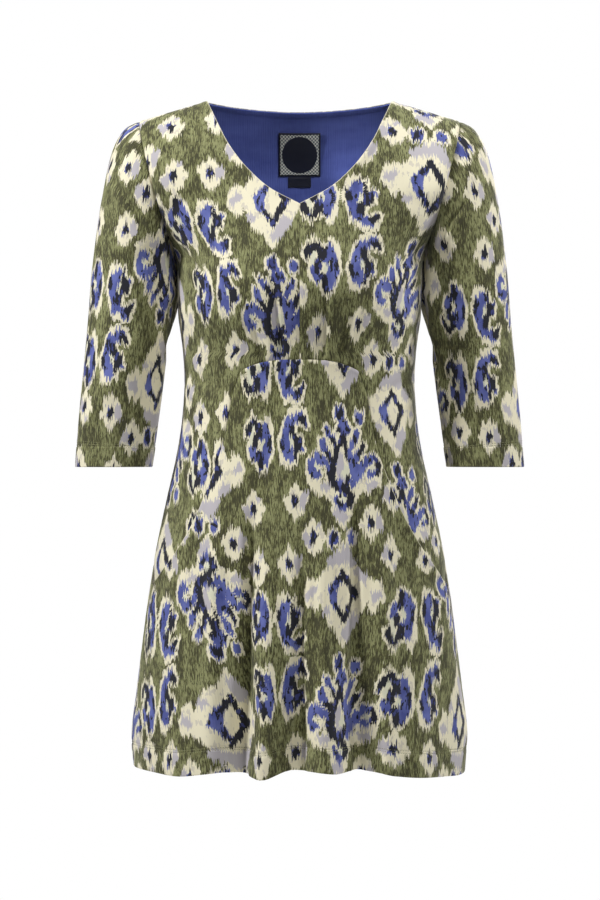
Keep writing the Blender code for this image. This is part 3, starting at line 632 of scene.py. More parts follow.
OPEN_HOOK = {
    "blue": [
        [(6, 34, 4.7), (2, 28, 5.2), (-6, 26, 5.8), (-9, 17, 5.2), (-10, 7, 6.6), (-10, -4, 7.6)],
        [(-10, -4, 7.6), (-8, -15, 6.8), (-5, -21, 4.6)],
        [(8, -9, 3.8)],
    ],
    "dark": [
        [(9, 28, 5.5), (13, 22, 3.1)],
        [(-4, 19, 3.9), (-3, 10, 4.3), (1, 4, 3.5)],
        [(-16, 1, 2.7), (-15, -10, 2.7)],
        [(4, 2, 5.3), (4, -6, 5.3), (1, -13, 2.3), (1, -23, 1.5)],
    ],
    "cream": [
        [(-5, 37, 4.4), (3, 39, 5.4), (12, 38, 4)],
        [(-16, -17, 3.4), (-13, -27, 5), (-6, -28, 4)],
    ],
    "eye": [[(-5, 4, 1.9), (-3, -4, 1.7)]],
}
# the motifs of half a repeat, and where each lies from the sprig's middle
MOTIFS = (
    (SPRIG, 0, 0),
    (DARK_DOT, -4, 71),
    (DOT, 21, 66),
    (DARK_DOT, -12, -84),
    (DOT, 11, -84),
    (LOZENGE, 0, -154),
    (CLOSED_HOOK, -103, 31),
    (OPEN_HOOK, -60, 36),
    (CLOSED_HOOK, 66, 26),
    (OPEN_HOOK, 108, 29),
    (ROSETTE, -59, -38),
    (LEFT_ROSETTE, -111, -48),
    (ROSETTE, -136, -90),
    (LEFT_ROSETTE, -36, -82),
    (ROSETTE, -66, -116),
    (LEFT_ROSETTE, -106, -122),
)
HALO = 3.1  # the undyed cream line about every blue or dark stroke
COLOURS = ("cream", "lilac", "blue", "dark", "eye")
print("Print:", len(MOTIFS), "motifs, each also upside down; repeat", REPEAT.tolist(), "mm")


# %% Laying the print on a mesh
FAR = 12.0  # depths are not told apart beyond this
UP_DOWN = 2.5  # how far up and down the print is looked at for its slope


def stroke_depth(x, y, points):
    """How deep each place lies inside a brush stroke, in mm, and below 0 outside it."""
    if len(points) == 1:
        points = points * 2
    best = np.full(x.shape, -99.0)
    for (x_a, y_a, r_a), (x_b, y_b, r_b) in zip(points, points[1:]):
        run_x, run_y = x_b - x_a, y_b - y_a
        t = np.clip(((x - x_a) * run_x + (y - y_a) * run_y) / (run_x**2 + run_y**2 + 1e-9), 0, 1)
        off = np.hypot(x - x_a - t * run_x, y - y_a - t * run_y)
        best = np.maximum(best, mix(r_a, r_b, t) - off)
    return best


def motif_reach(motif):
    """How far from its middle a motif can be felt, in x and y."""
    points = np.array(sum((stroke for strokes in motif.values() for stroke in strokes), []))
    return np.abs(points[:, :2]).max(axis=0) + points[:, 2].max() + FAR


def print_depths(places):
    """The depth inside each colour, for places on the flat cloth in mm."""
    depths = {colour: np.full(len(places), -FAR) for colour in COLOURS}
    for flipped in (1, -1):
        lattice = HALF_DROP if flipped < 0 else 0.0
        for motif, motif_x, motif_y in MOTIFS:
            corner = np.array((motif_x, flipped * motif_y)) + lattice
            near = (places - corner + REPEAT / 2) % REPEAT - REPEAT / 2
            picked = np.nonzero((np.abs(near) < motif_reach(motif)).all(axis=1))[0]
            x, y = near[picked, 0], flipped * near[picked, 1]
            for colour, strokes in motif.items():
                depth = np.max([stroke_depth(x, y, stroke) for stroke in strokes], axis=0)
                depths[colour][picked] = np.maximum(depths[colour][picked], depth)
                if colour in ("blue", "dark"):
                    depths["cream"][picked] = np.maximum(depths["cream"][picked], depth + HALO)
    return depths


def lay_print(mesh, start, drawn):
    """Stores each colour's depth, and its slope up the cloth; start is a sprig's middle."""
    uvs = np.empty(2 * len(mesh.loops), np.float32)
    mesh.uv_layers["flat cloth"].data.foreach_get("uv", uvs)
    places, back = np.unique(uvs.reshape(-1, 2), axis=0, return_inverse=True)
    places = drawn(places / MM) - np.array(start)
    here, above, below = (print_depths(places + (0, step)) for step in (0, UP_DOWN, -UP_DOWN))
    for colour, depth in here.items():
        slope = (above[colour] - below[colour]) / (2 * UP_DOWN)
        values = np.stack((depth, slope, 0 * depth), axis=-1)[back.ravel()]
        layer = mesh.attributes.new(colour, "FLOAT_VECTOR", "CORNER")
        layer.data.foreach_set("vector", values.astype(np.float32).ravel())


print("Told apart within", FAR, "mm of an outline")

# %% [markdown]
# ## Printed jersey
# The cloth is single jersey of viscose with a little elastane, knitted fine and printed on one
# side. Knitting gives it tiny upright ribs, a dry matt face and a faint bloom of fibre ends at
# grazing angles, which is what sheen is for. The back of the cloth shows the print only as a pale
# ghost. One material could tell its sides apart, but a Solidify wall can carry two, so the same
# material is made twice, once washed out.

# %% Threads and layers of colour
def streaks(tree, cloth, width, length, shift):
    """Upright streaks of that width and length in mm, from 0 to 1."""
    scale = (1 / (width * MM), 1 / (length * MM), 1)
    placing = {0: cloth, "Location": (shift, 1.7 * shift, 0), "Scale": scale}
    place = add_node(tree, "Mapping", placing).outputs[0]
    noise = {"Vector": place, "Scale": 1.0, "Detail": 2.0, "Roughness": 0.6}
    return add_node(tree, "TexNoise", noise, noise_dimensions="2D").outputs[0]


def weighted(tree, total, *parts):
    """Adds values to a total, each times its own weight."""
    for value, weight in parts:
        inputs = {0: value, 1: weight, 2: total}
        total = add_node(tree, "Math", inputs, operation="MULTIPLY_ADD").outputs[0]
    return total


def layered(tree, below, above, value, low, high, most=1.0):
    """Lays a colour on another where a value goes from low to high, and at most that much of it."""
    share = add_node(tree, "MapRange", {0: value, 1: low, 2: high, 4: most}).outputs[0]
    return add_node(tree, "Mix", {0: share, 6: below, 7: above}, data_type="RGBA").outputs[2]


def olive_ground(tree, cloth, tints):
    """Three dyeings of thread in upright dashes, about 1.4 mm wide and 10 mm long."""
    threads = streaks(tree, cloth, 1.4, 10, 0)
    bundles = streaks(tree, cloth, 9, 26, 41)
    baths = streaks(tree, cloth, 38, 60, 53)
    shade = weighted(tree, 0.0, (threads, 0.7), (bundles, 0.42), (baths, 0.315))
    ramp = add_node(tree, "ValToRGB", {0: shade})
    stops = ramp.color_ramp.elements
    stops[0].position, stops[0].color = 0.663, tints["deep olive"]
    stops[1].position, stops[1].color = 0.677, tints["olive"]
    stops.new(0.748).color = tints["olive"]
    stops.new(0.762).color = tints["light olive"]
    flecks = streaks(tree, cloth, 1.6, 8, 23)
    return layered(tree, ramp.outputs[0], tints["deep olive"], flecks, 0.59, 0.64)


print("Threads of the ground: 1.4 mm wide, in dashes of 10 mm")

# %% The printed jersey material
PRINT_COLOURS = {
    "deep olive": "#43422c",
    "olive": "#696943",
    "light olive": "#8c8e63",
    "cream": "#e9e2c6",
    "grey cream": "#d3ccba",
    "lilac": "#bab5ba",
    "blue": "#4a5393",
    "pale blue": "#646dad",
    "deep blue": "#3a4077",
    "dark": "#20212a",
    "eye": "#d9d8c0",
}
PALE_GROUND = "#d9d6c8"  # the cloth before it is printed
RIB_SPACING = 3.0  # a rib every 0.7 mm is finer than the view can show, so each stands for four
WAVE = 2 * np.pi / 20  # from crest to crest of a wave texture, in its own units


def printed_jersey(name, fade):
    """Printed single jersey; fade is how far the print sinks into the pale ground of the cloth."""
    material, tree, shader = new_material(name)
    cloth = add_node(tree, "UVMap", uv_map="flat cloth").outputs[0]
    tints = {colour: hex_colour(code) for colour, code in PRINT_COLOURS.items()}

    # each colour of the print is uneven in its own way
    mottle, patches = streaks(tree, cloth, 6.0, 13.0, 31), streaks(tree, cloth, 20, 30, 5)
    inks = dict(tints)
    for ink, uneven, noise, low, high in (
        ("cream", "grey cream", mottle, 0.60, 0.64),
        ("blue", "pale blue", patches, 0.35, 0.65),
        ("blue", "dark", mottle, 0.60, 0.63),
        ("dark", "deep blue", mottle, 0.40, 0.36),
    ):
        inks[ink] = layered(tree, inks[ink], tints[uneven], noise, low, high)

    # how far the dyed threads slipped up or down, and how far their edges bleed, in mm
    threads, bundles = streaks(tree, cloth, 1.7, 34, 3), streaks(tree, cloth, 6.0, 60, 11)
    slip = weighted(tree, -19.0, (threads, 24.0), (bundles, 14.0))
    bleed = weighted(tree, -1.5, (streaks(tree, cloth, 2.0, 5.0, 17), 3.0))
    colour = olive_ground(tree, cloth, tints)
    for ink in COLOURS:
        stored = add_node(tree, "Attribute", attribute_name=ink).outputs["Vector"]
        depth, slope, _ = add_node(tree, "SeparateXYZ", {0: stored}).outputs
        depth = weighted(tree, bleed, (depth, 1.0), (slope, slip))
        colour = layered(tree, colour, inks[ink], depth, -0.4, 0.4)
    sunk = {0: fade, 6: colour, 7: hex_colour(PALE_GROUND)}
    colour = add_node(tree, "Mix", sunk, data_type="RGBA").outputs[2]

    # a pale line is painted along the turned-in edges of the V and of the pocket mouths:
    # a painted highlight for the light on their rounded lips, and partly the pale ground of cracked
    # print
    edge = add_node(tree, "Attribute", attribute_name="pressed edge, painted highlight").outputs["Fac"]
    colour = layered(tree, colour, tints["cream"], edge, 1.5, 0.5, 0.7)

    ribs = add_node(tree, "TexWave", {0: cloth, "Scale": WAVE / (RIB_SPACING * MM)})
    height = weighted(tree, ribs.outputs["Fac"], (streaks(tree, cloth, 0.9, 2.2, 2), 0.8))
    bump = add_node(tree, "Bump", {"Strength": 0.35, "Distance": 0.25 * MM, "Height": height})
    look = {"Roughness": 0.82, "Specular IOR Level": 0.25, "Sheen Weight": 0.12}
    look |= {"Base Color": colour, "Normal": bump.outputs[0], "Sheen Roughness": 0.5}
    fill(tree, shader, look)
    return material


JERSEY_FACE = printed_jersey("printed viscose jersey, face", 0.0)
JERSEY_REVERSE = printed_jersey("printed viscose jersey, reverse", 0.55)
PRINTED = ("printed_jersey", (JERSEY_FACE, JERSEY_REVERSE))
print("Print colours:", len(PRINT_COLOURS))

# %% [markdown]
# ## A sheet of cloth
# Every cloth piece starts as a flat grid, is moved onto the form row by row, and gets its
# thickness from a Solidify modifier. The grid could also be cut from a plane by hand. A table of
# rows keeps the edges straight, lets lines of vertices crowd together where a seam needs them,
# and gives each corner its place on the flat cloth.

# %% Spacing and normals of a table
def crowded(length, step, at_start, at_end):
    """Shares of a length, about a step apart, with closer lines for a seam at either end."""
    near = np.array((0.0, 0.7, 1.6, 2.8, 4.6)) / length
    start = near if at_start else np.zeros(1)
    end = 1 - (near if at_end else np.zeros(1))[::-1]
    count = max(int(round((end[0] - start[-1]) * length / step)), 1)
    return np.concatenate((start, np.linspace(start[-1], end[0], count + 1)[1:-1], end))


def both_ways(half):
    """Shares from the centre to one side, set out to both sides of it."""
    return np.concatenate((-half[:0:-1], half))[None, :]


def run_along(table, axis):
    """How far each point lies along its row (axis 1) or column (axis 0), from the first."""
    steps = np.linalg.norm(np.diff(table, axis=axis), axis=2)
    pad = ((1, 0), (0, 0)) if axis == 0 else ((0, 0), (1, 0))
    return np.pad(np.cumsum(steps, axis=axis), pad)


def from_edges(table):
    """Distances from the top, bottom, first and last edges of a table."""
    down, across = run_along(table, 0), run_along(table, 1)
    return down, down[-1] - down, across, across[:, -1:] - across


def sheet_normals(table, outward):
    """Unit normals of a table, on the side to which outward points."""
    normals = np.cross(np.gradient(table, axis=1), np.gradient(table, axis=0))
    normals /= np.maximum(np.linalg.norm(normals, axis=2, keepdims=True), 1e-9)
    return normals * np.sign((normals * outward).sum(axis=2, keepdims=True) + 1e-12)


print("Lines across a strip of 50 mm:", crowded(50, 3, True, True).size)

# %% Seams and pressed edges
SEAM_DIP, SEAM_RIDGE, RIDGE_AT = 0.7, 0.3, 4.5
TURNING, TURNING_STEP, LIP = 8.5, 0.45, 0.35
TWIN = 3.2  # between the two needles of a hem
GROOVE, HEM_STEP, HEM_PUCKER = 0.55, 0.35, 0.30


def seam(distance, run=0.0):
    """A pressed seam: a sharp dip at the stitching beside the soft ridge of its allowance."""
    pucker = 1 + 0.35 * np.sin(run / 2.6) * np.sin(run / 7.3)
    return SEAM_RIDGE * pucker * bell(distance - RIDGE_AT, 3.0) - SEAM_DIP * bell(distance, 1.4)


def turned_edge(distance):
    """An edge turned in and pressed: a rounded lip, then a small step where the turning ends."""
    return TURNING_STEP * ease((TURNING - distance) / 2.5) - LIP * bell(distance, 0.8)


def hem_stitching(distance, run, at):
    """The dimpled groove of twin needles, and the faint puckers that they raise below it."""
    groove = -GROOVE * (bell(distance - at, 1.1) + bell(distance - at - TWIN, 1.1))
    pucker = np.sin(run / 3.1) * np.sin(run / 11.0 + 1) * bell(distance - at + 6, 9)
    return groove + HEM_STEP * ease((at - distance) / 2) + HEM_PUCKER * pucker


def drawn_in(table, top, bottom, first, last):
    """The table with its borders drawn in by half of the gap that a seam leaves."""
    table = table.copy()
    for wanted, edge, inner in (
        (top, np.s_[0], np.s_[1]),
        (bottom, np.s_[-1], np.s_[-2]),
        (first, np.s_[:, 0], np.s_[:, 1]),
        (last, np.s_[:, -1], np.s_[:, -2]),
    ):
        if wanted:
            step = table[inner] - table[edge]
            length = np.maximum(np.linalg.norm(step, axis=-1, keepdims=True), 1e-9)
            table[edge] += step / length * min(SEAM_GAP / 2, 0.4 * float(length.min()))
    return table


def on_body(face, turn, drop, inset=0.0):
    """Points of the worn cloth, their places on the flat cloth, and the outward normals there."""
    turn, drop = np.broadcast_arrays(turn, drop)
    table = worn_point(face, turn, drop, inset)
    return table, flat_place(face, turn, drop), sheet_normals(table, body_normal(face, turn, drop))


print("A seam dips by", round(float(-seam(0.0)), 2), "mm")


# %% A finished piece of cloth
def add_sheet(bm, table, flat, edge=None):
    """Adds a grid to a bmesh, its vertices moved to a table of points in mm, with their places on
    the flat cloth and their distance from an edge that is turned in and pressed."""
    rows, columns = table.shape[:2]
    pressed = bm.verts.layers.float["pressed edge, painted highlight"]
    uv = bm.loops.layers.uv["flat cloth"]
    made = bmesh.ops.create_grid(bm, x_segments=columns - 1, y_segments=rows - 1, size=0.5)
    places = {}
    for vertex in made["verts"]:
        row = round((0.5 - vertex.co.y) * (rows - 1))
        places[vertex] = row, round((vertex.co.x + 0.5) * (columns - 1))
    for face in {face for vertex in places for face in vertex.link_faces}:
        for loop in face.loops:
            loop[uv].uv = flat[places[loop.vert]] * MM
    for vertex, place in places.items():
        vertex.co = table[place] * MM
        # the distance from a turned-in edge, for the highlight painted along it
        vertex[pressed] = FAR if edge is None else min(edge[place], FAR)


def flat_size(piece):
    """Width, length and area of the flat cut, in metres, from the piece's own flat places."""
    mesh = piece.data
    uvs = np.empty(2 * len(mesh.loops), np.float32)
    mesh.uv_layers["flat cloth"].data.foreach_get("uv", uvs)
    places = uvs.reshape(-1, 2)
    starts = np.empty(len(mesh.polygons), np.int32)
    mesh.polygons.foreach_get("loop_start", starts)
    following = np.arange(len(places)) + 1
    following[np.append(starts[1:], len(places)) - 1] = starts
    x, y = places.T
    turned = x * y[following] - y * x[following]
    area = np.abs(np.add.reduceat(turned, starts)).sum() / 2
    width, length = np.ptp(places, axis=0)
    return float(width), float(length), float(min(area, width * length))


def as_cut(places):
    return places


def cloth_piece(node, sheets, outward, finish, thick=CLOTH, start=None, drawn=as_cut):
    """The cloth that takes a solid's place, from tables that share edges. outward(point) is the
    side of the cloth's face, start is where a sprig of its print lies, and drawn says how the
    print is drawn out of line."""
    slot, materials = finish
    bm = bmesh.new()
    bm.loops.layers.uv.new("flat cloth")
    # the distance from a turned-in edge, along which a highlight is painted
    bm.verts.layers.float.new("pressed edge, painted highlight")
    for sheet in sheets:
        add_sheet(bm, *sheet)
    bmesh.ops.remove_doubles(bm, verts=bm.verts, dist=0.01 * MM)
    bmesh.ops.recalc_face_normals(bm, faces=bm.faces)
    facing = sum(
        face.normal.dot(Vector(outward(face.calc_center_median() / MM)).normalized())
        for face in list(bm.faces)[::50]
    )
    if facing < 0:
        bmesh.ops.reverse_faces(bm, faces=bm.faces)
    mesh = mesh_from(bm, f"{node}_cloth")
    for material in materials:
        mesh.materials.append(material)
    mesh.shade_smooth()
    if start is not None:
        lay_print(mesh, start, drawn)
    piece = put(mesh.name, mesh)
    wall = piece.modifiers.new("wall", "SOLIDIFY")
    wall.thickness, wall.offset, wall.use_quality_normals = thick * MM, 0, True
    wall.material_offset = wall.material_offset_rim = len(materials) - 1
    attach(piece, "root")
    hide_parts(node)
    width, length, area = flat_size(piece)
    print(f"{piece.name}: cut {width / MM:.0f} x {length / MM:.0f} mm, {area:.4f} square metres,")
    print("   ", len(mesh.polygons), "faces")


def away_from_body(point):
    return (point[0], point[1], 0)


def towards_body(point):
    return (-point[0], -point[1], 0)


print("Wall of the jersey in mm:", CLOTH)

# %% [markdown]
# ## The turned-up hem
# A jersey hem is folded to the inside and caught down by two parallel rows of stitching. The fold
# is part of the same piece of cloth, so the rows of the grid simply run on round it and back up
# inside, rather than being a second strip.

# %% Hems
HEM_DEPTH = 28.0  # from the fold up to the first row of stitching
HEM_TURNING = 31.5  # from the fold up to the raw edge inside
FOLD = 1.35  # between the middles of the two layers
ROUND_FOLD = 0.55 * FOLD  # of flat cloth to each radian of the fold
# how far above the fold the last rows of a hemmed piece lie, and those of its turning
HEM_ROWS = np.array(
    [46, 43, 40, 37.5, 35.5, 34, 32.7, 31.9, 31.2, 30.4, 29.6, 28.7, 28, 27.3, 26.4]
    + [25, 22.5, 19.5, 16, 12.5, 9, 6, 3.5, 1.6, 0.6, 0]
)
TURNING_ROWS = (0.0, 3, 7, 11, 15, 19, 23, 26, 28.5, HEM_TURNING)


def with_turned_hem(table, flat, normals):
    """The table with its hem folded in and up the inside."""
    down = table[-1] - table[-2]
    down /= np.linalg.norm(down, axis=1, keepdims=True)
    rows, flats = [], []
    for angle in np.radians((45, 90, 135)):
        inward = FOLD / 2 * (1 - np.cos(angle))
        rows.append(table[-1] - inward * normals[-1] + FOLD / 2 * np.sin(angle) * down)
        flats.append(flat[-1] - (0, ROUND_FOLD * angle))
    up = from_edges(table)[1][::-1]
    inside = (table - FOLD * normals)[::-1]
    for height in TURNING_ROWS:
        row = np.empty_like(table[-1])
        for column, axis in np.ndindex(row.shape):
            row[column, axis] = np.interp(height, up[:, column], inside[:, column, axis])
        rows.append(row)
        flats.append(flat[-1] - (0, ROUND_FOLD * np.pi + height))
    return np.concatenate((table, rows)), np.concatenate((flat, flats))


def hem_seams(table, normals, at, mirror=1):
    """The two rows of a hem's stitching: the points in its grooves, and the normals there."""
    height = from_edges(table)[1].mean(axis=1)
    rows = [np.abs(height - wanted).argmin() for wanted in (at, at + TWIN)]
    return [(table[row] * (mirror, 1, 1), normals[row] * (mirror, 1, 1)) for row in rows]


def hem_lines(last_drop, first_drop, step):
    """Drops from first_drop to last_drop, crowded where the hem's stitching is."""
    above = last_drop - HEM_ROWS[0]
    upper = np.linspace(first_drop, above, int((above - first_drop) / step))
    return np.concatenate((upper[:-1], last_drop - HEM_ROWS))


print("Turned up in mm:", HEM_TURNING)

# %% [markdown]
# ## The heights of the panels
# All the panels share one set of heights along the side seam, so that their edges meet point for
# point. Even rows would be simpler, but an armhole curves in fast near the armpit and a hem has
# its stitching, so the rows are about 3 mm apart and closer at both.

# %% Rows of the panels
def armhole_drops(upper, lower):
    reach = ARMHOLE_TURN_DROP - SHOULDER_DROP
    whole = np.arccos(1 - reach / ROUND[FRONT])
    top = SHOULDER_DROP + ROUND[FRONT] * (1 - np.cos(whole * np.arange(upper) / upper))
    fall = np.sin(np.pi / 2 * np.arange(lower + 1) / lower)
    return np.concatenate((top, ARMHOLE_TURN_DROP + (ARMPIT_DROP - ARMHOLE_TURN_DROP) * fall))


ROW = 3.2
ARMHOLE_DROPS = armhole_drops(34, 30)
AT_CORNER = CORNER_DROP - np.array((4.6, 2.8, 1.6, 0.7, 0))
BUST_DROPS = np.concatenate((np.arange(ARMPIT_DROP + ROW, CORNER_DROP - 6, ROW), AT_CORNER))
SIDE_DROPS = np.linspace(CORNER_DROP, MOUTH_TOP_DROP, 36)[1:]
MOUTH_DROPS = mix(MOUTH_END_DROP, MOUTH_TOP_DROP, np.linspace(1, 0, 56)[1:] ** 1.35)
HEM_DROPS = hem_lines(LENGTH, MOUTH_END_DROP + ROW, ROW)
ALL_DROPS = (ARMHOLE_DROPS, BUST_DROPS, SIDE_DROPS, MOUTH_DROPS, HEM_DROPS)
print("Rows from the shoulder to the hem:", [len(part) for part in ALL_DROPS])


def fallen_share(drop):
    return (drop - SHOULDER_DROP) / (ARMPIT_DROP - SHOULDER_DROP)


def seam_under_bust(x):
    return mix(BUST_SEAM_DROP, CORNER_DROP, (np.abs(x) / CORNER_X) ** 3)


def mouth_x(drop):
    return along(SKIRT_EDGE, 1, np.minimum(drop, MOUTH_END_DROP))


def top_of_front(turn):
    return np.maximum(shoulder_line(SHOULDER_HALF_WIDTH * np.sin(turn)), 0)


def back_neckline(x):
    arc = NECK_BACK_DROP * (1 - (np.abs(x) / NECK_HALF_WIDTH) ** 2)
    return np.where(np.abs(x) >= NECK_HALF_WIDTH, shoulder_line(x), arc)


# %% [markdown]
# ## The front skirt
# One dome-shaped panel from the seam under the bust to the hem. Its upper corners turn down into
# the slanted pocket mouths, whose edges are turned in and stand a little open, so that a dark line
# shows between the skirt and the pocket behind it. It could be a straight grid cut to shape. Here
# the columns fan out from the seam instead, so the edge of the grid is the edge of the cloth.

# %% The front skirt
POCKET_OPEN = (2.0, 4.4)  # how far the middle of the right and the left mouth stand off
# drop, and the turn in degrees to which the columns of the skirt spread there; only the outermost
# columns follow the sudden turn of the edge where a mouth meets the side seam
SKIRT_SPREAD = np.array(
    [(345, 30.1), (372, 34.6), (400, 36.4), (430, 38.2), (455, 40.1), (493, 44.1), (522, 47.2)]
    + [(548, 51.6), (571, 57.5), (600, 65), (640, 76.5), (680, 85.5), (710, 89), (740, 90)]
    + [(864, 90)]
)
SKIRT_DROPS = np.concatenate(
    (
        [CORNER_DROP + extra for extra in (0, 0.7, 1.6, 2.8, 4.6)],
        SIDE_DROPS[SIDE_DROPS > CORNER_DROP + 6],
        MOUTH_DROPS,
        HEM_DROPS,
    )
)[:, None]


def skirt_turns_and_drops():
    x = CORNER_X * both_ways(crowded(230, 3.3, False, True))
    gone = (SKIRT_DROPS - CORNER_DROP) / (LENGTH - CORNER_DROP)
    mouth_turn = turn_at(mouth_x(SKIRT_DROPS), SKIRT_DROPS)
    edge_turn = np.where(SKIRT_DROPS < MOUTH_END_DROP - 0.01, mouth_turn, np.pi / 2)
    drop = SKIRT_DROPS - (CORNER_DROP - seam_under_bust(x)) * (1 - ease(2.5 * gone))
    share = turn_at(x, seam_under_bust(x)) / turn_at(CORNER_X, CORNER_DROP)
    spread = np.radians(along(SKIRT_SPREAD, 1, SKIRT_DROPS))
    at_edge = np.sign(share) * ease((np.abs(share) - 0.7) / 0.3)
    turn = share * spread + at_edge * (edge_turn - spread)
    return turn, hung(FRONT, turn, drop)


def front_skirt():
    table, flat, normals = on_body(FRONT, *skirt_turns_and_drops())
    top, bottom, first, last = from_edges(table)
    side = np.minimum(first, last)
    below_top, above_end = SKIRT_DROPS - MOUTH_TOP_DROP, MOUTH_END_DROP - SKIRT_DROPS
    in_mouth = ease((below_top - 4) / 8) * ease(above_end / 6)
    opened = np.sin(np.pi * np.clip((below_top - 20) / 150, 0, 1)) ** 1.5
    gape = np.where(first < last, *POCKET_OPEN)
    stand = seam(top, first) + seam(side, top) * (1 - in_mouth)
    stand = stand + in_mouth * (turned_edge(side) + gape * opened * ease(1 - side / 34))
    stand = stand + hem_stitching(bottom, first, HEM_DEPTH)
    table = drawn_in(table + normals * stand[..., None], True, False, True, True)
    sheet = with_turned_hem(table, flat, normals)
    # the turned-in edges of the mouths get a painted highlight
    edge = np.full(sheet[0].shape[:2], FAR)
    edge[: len(table)] = side + FAR * (1 - in_mouth)
    return (*sheet, edge), hem_seams(table, normals, HEM_DEPTH)


def drawn_on_skirt(places):
    """Near the hem the print is drawn out to the left side, and into the fold on the right."""
    x, drop = places[:, 0], -places[:, 1]
    left = ease((x - 90) / 100) * ease((drop - 570) / 70)
    right = ease((-x - 150) / 50) * ease((drop - 600) / 150)
    across = 22 * left + 22 * bell(x + 95, 40) * ease((drop - 560) / 180)
    up = 13 * left * np.clip((700 - drop) / 58, -1, 1) - 20 * right
    return places - np.stack((across, up), axis=-1)


hem_seams_of = {}  # where each hemmed piece is stitched
sheet, hem_seams_of["front_skirt"] = front_skirt()
cloth_piece("front_skirt", [sheet], away_from_body, PRINTED, start=(54, -469), drawn=drawn_on_skirt)

# %% [markdown]
# ## The upper fronts
# Each upper front runs from the shoulder seam down to the seam under the bust, where small pleats
# give it fullness, and on down beside the skirt to the hip, where it is the back wall of the
# pocket. One grid would have to bend sharply at the corner of the skirt, so it is made of two
# tables that share a row: the whole width above the corner, and the side below it.

# %% How the print is drawn out on the chest
def drawn_on_left(places):
    """The left front's print is drawn out across the chest, and shortened below the bust."""
    x, drop = places[:, 0], -places[:, 1]
    across = 0.25 * (x - 44) * ease((290 - drop) / 110) - 14 * bell(drop - 392, 60)
    up = 12 * ease((150 - x) / 60) * ease((350 - drop) / 60)
    up = up + 0.125 * np.maximum(drop - 262, 0) * ease((x - 60) / 30)
    return places - np.stack((across, up), axis=-1)


def drawn_on_right(places):
    """The right front's print is drawn out a little less, and towards the armhole."""
    x, drop = places[:, 0], -places[:, 1]
    across = (0.15 * (x + 79) - 14) * ease((250 - drop) / 90)
    return places - np.stack((across, 0 * x), axis=-1)


bust = np.array([(90.0, -180.0)])
print("Print drawn out at the left bust in mm:", (bust - drawn_on_left(bust))[0].round(1))

# %% The whole width of an upper front
TO_CORNER = crowded(74, 2.9, True, False) * CORNER_X
PAST_CORNER = crowded(170, 3.1, False, True)
CORNER = len(TO_CORNER) - 1  # the column of the corner
CORNER_SHARE = float(turn_at(CORNER_X, CORNER_DROP)) / (np.pi / 2)
# the columns' shares of the way round from the centre front to the side seam
SHARES = turn_at(TO_CORNER, seam_under_bust(TO_CORNER)) / (np.pi / 2)
SHARES = np.concatenate((SHARES, mix(CORNER_SHARE, 1, PAST_CORNER[1:])))[None, :]


def chest_turns_and_drops():
    """Rows beside the armhole, which spread from neckline and shoulder, and rows under the arm."""
    fallen = fallen_share(ARMHOLE_DROPS[:, None])
    neck_drop = NECK_FRONT_DROP * fallen
    neck_turn = turn_at(along(NECKLINE, 1, neck_drop), neck_drop)
    turn_upper = mix(neck_turn, np.pi / 2, SHARES)
    lowest = mix(NECK_FRONT_DROP, ARMPIT_DROP, SHARES)
    drop_upper = mix(top_of_front(turn_upper), lowest, fallen)

    drops = BUST_DROPS[:, None]
    gone = (drops - ARMPIT_DROP) / (CORNER_DROP - ARMPIT_DROP)
    middle = mix(NECK_FRONT_DROP, BUST_SEAM_DROP, gone)
    level = mix(SHARES, np.minimum(SHARES / CORNER_SHARE, 1) ** 3, gone)
    turn_lower = SHARES * np.pi / 2 + 0 * gone
    return np.vstack((turn_upper, turn_lower)), np.vstack((drop_upper, mix(middle, drops, level)))


def chest_sheet(side):
    """An upper front from the shoulder to the seam under the bust, with its edge along the V."""
    turn, drop = chest_turns_and_drops()
    table, flat, normals = on_body(FRONT, side * turn, drop)
    top, bottom, first, last = from_edges(table)
    at_neck = (np.arange(len(table)) < len(ARMHOLE_DROPS)).astype(float)[:, None]
    under = (np.arange(SHARES.size) <= CORNER).astype(float)[None, :]
    stand = seam(top, first) + seam(last, top) + seam(bottom, first) * under
    stand = stand + at_neck * turned_edge(first) + (1 - at_neck) * seam(first, top)
    table = table + normals * stand[..., None]
    whole_row = table[-1].copy()
    table = drawn_in(table, True, False, True, True)
    # the last row is drawn in at the seam alone, because past the corner the side goes on from it
    step = table[-2] - table[-1]
    step /= np.linalg.norm(step, axis=1, keepdims=True)
    table[-1, : CORNER + 1] += step[: CORNER + 1] * SEAM_GAP / 2
    table[-1, CORNER + 1 : -1] = whole_row[CORNER + 1 : -1]
    # the turned-in edge of the V gets a painted highlight
    return table, flat, first + FAR * (1 - at_neck)


print("Upper front:", SHARES.size, "columns")

# %% The side of an upper front
UNDER_SKIRT = 12.0  # how far this cloth reaches under the skirt behind a mouth
IN_POCKET, PAST_MOUTH = 2.1, 2.2  # how far it lies inside behind a mouth, and more below it
MOUTH_RISE = 36.0  # above the mouth's end, where the cloth starts to go further in


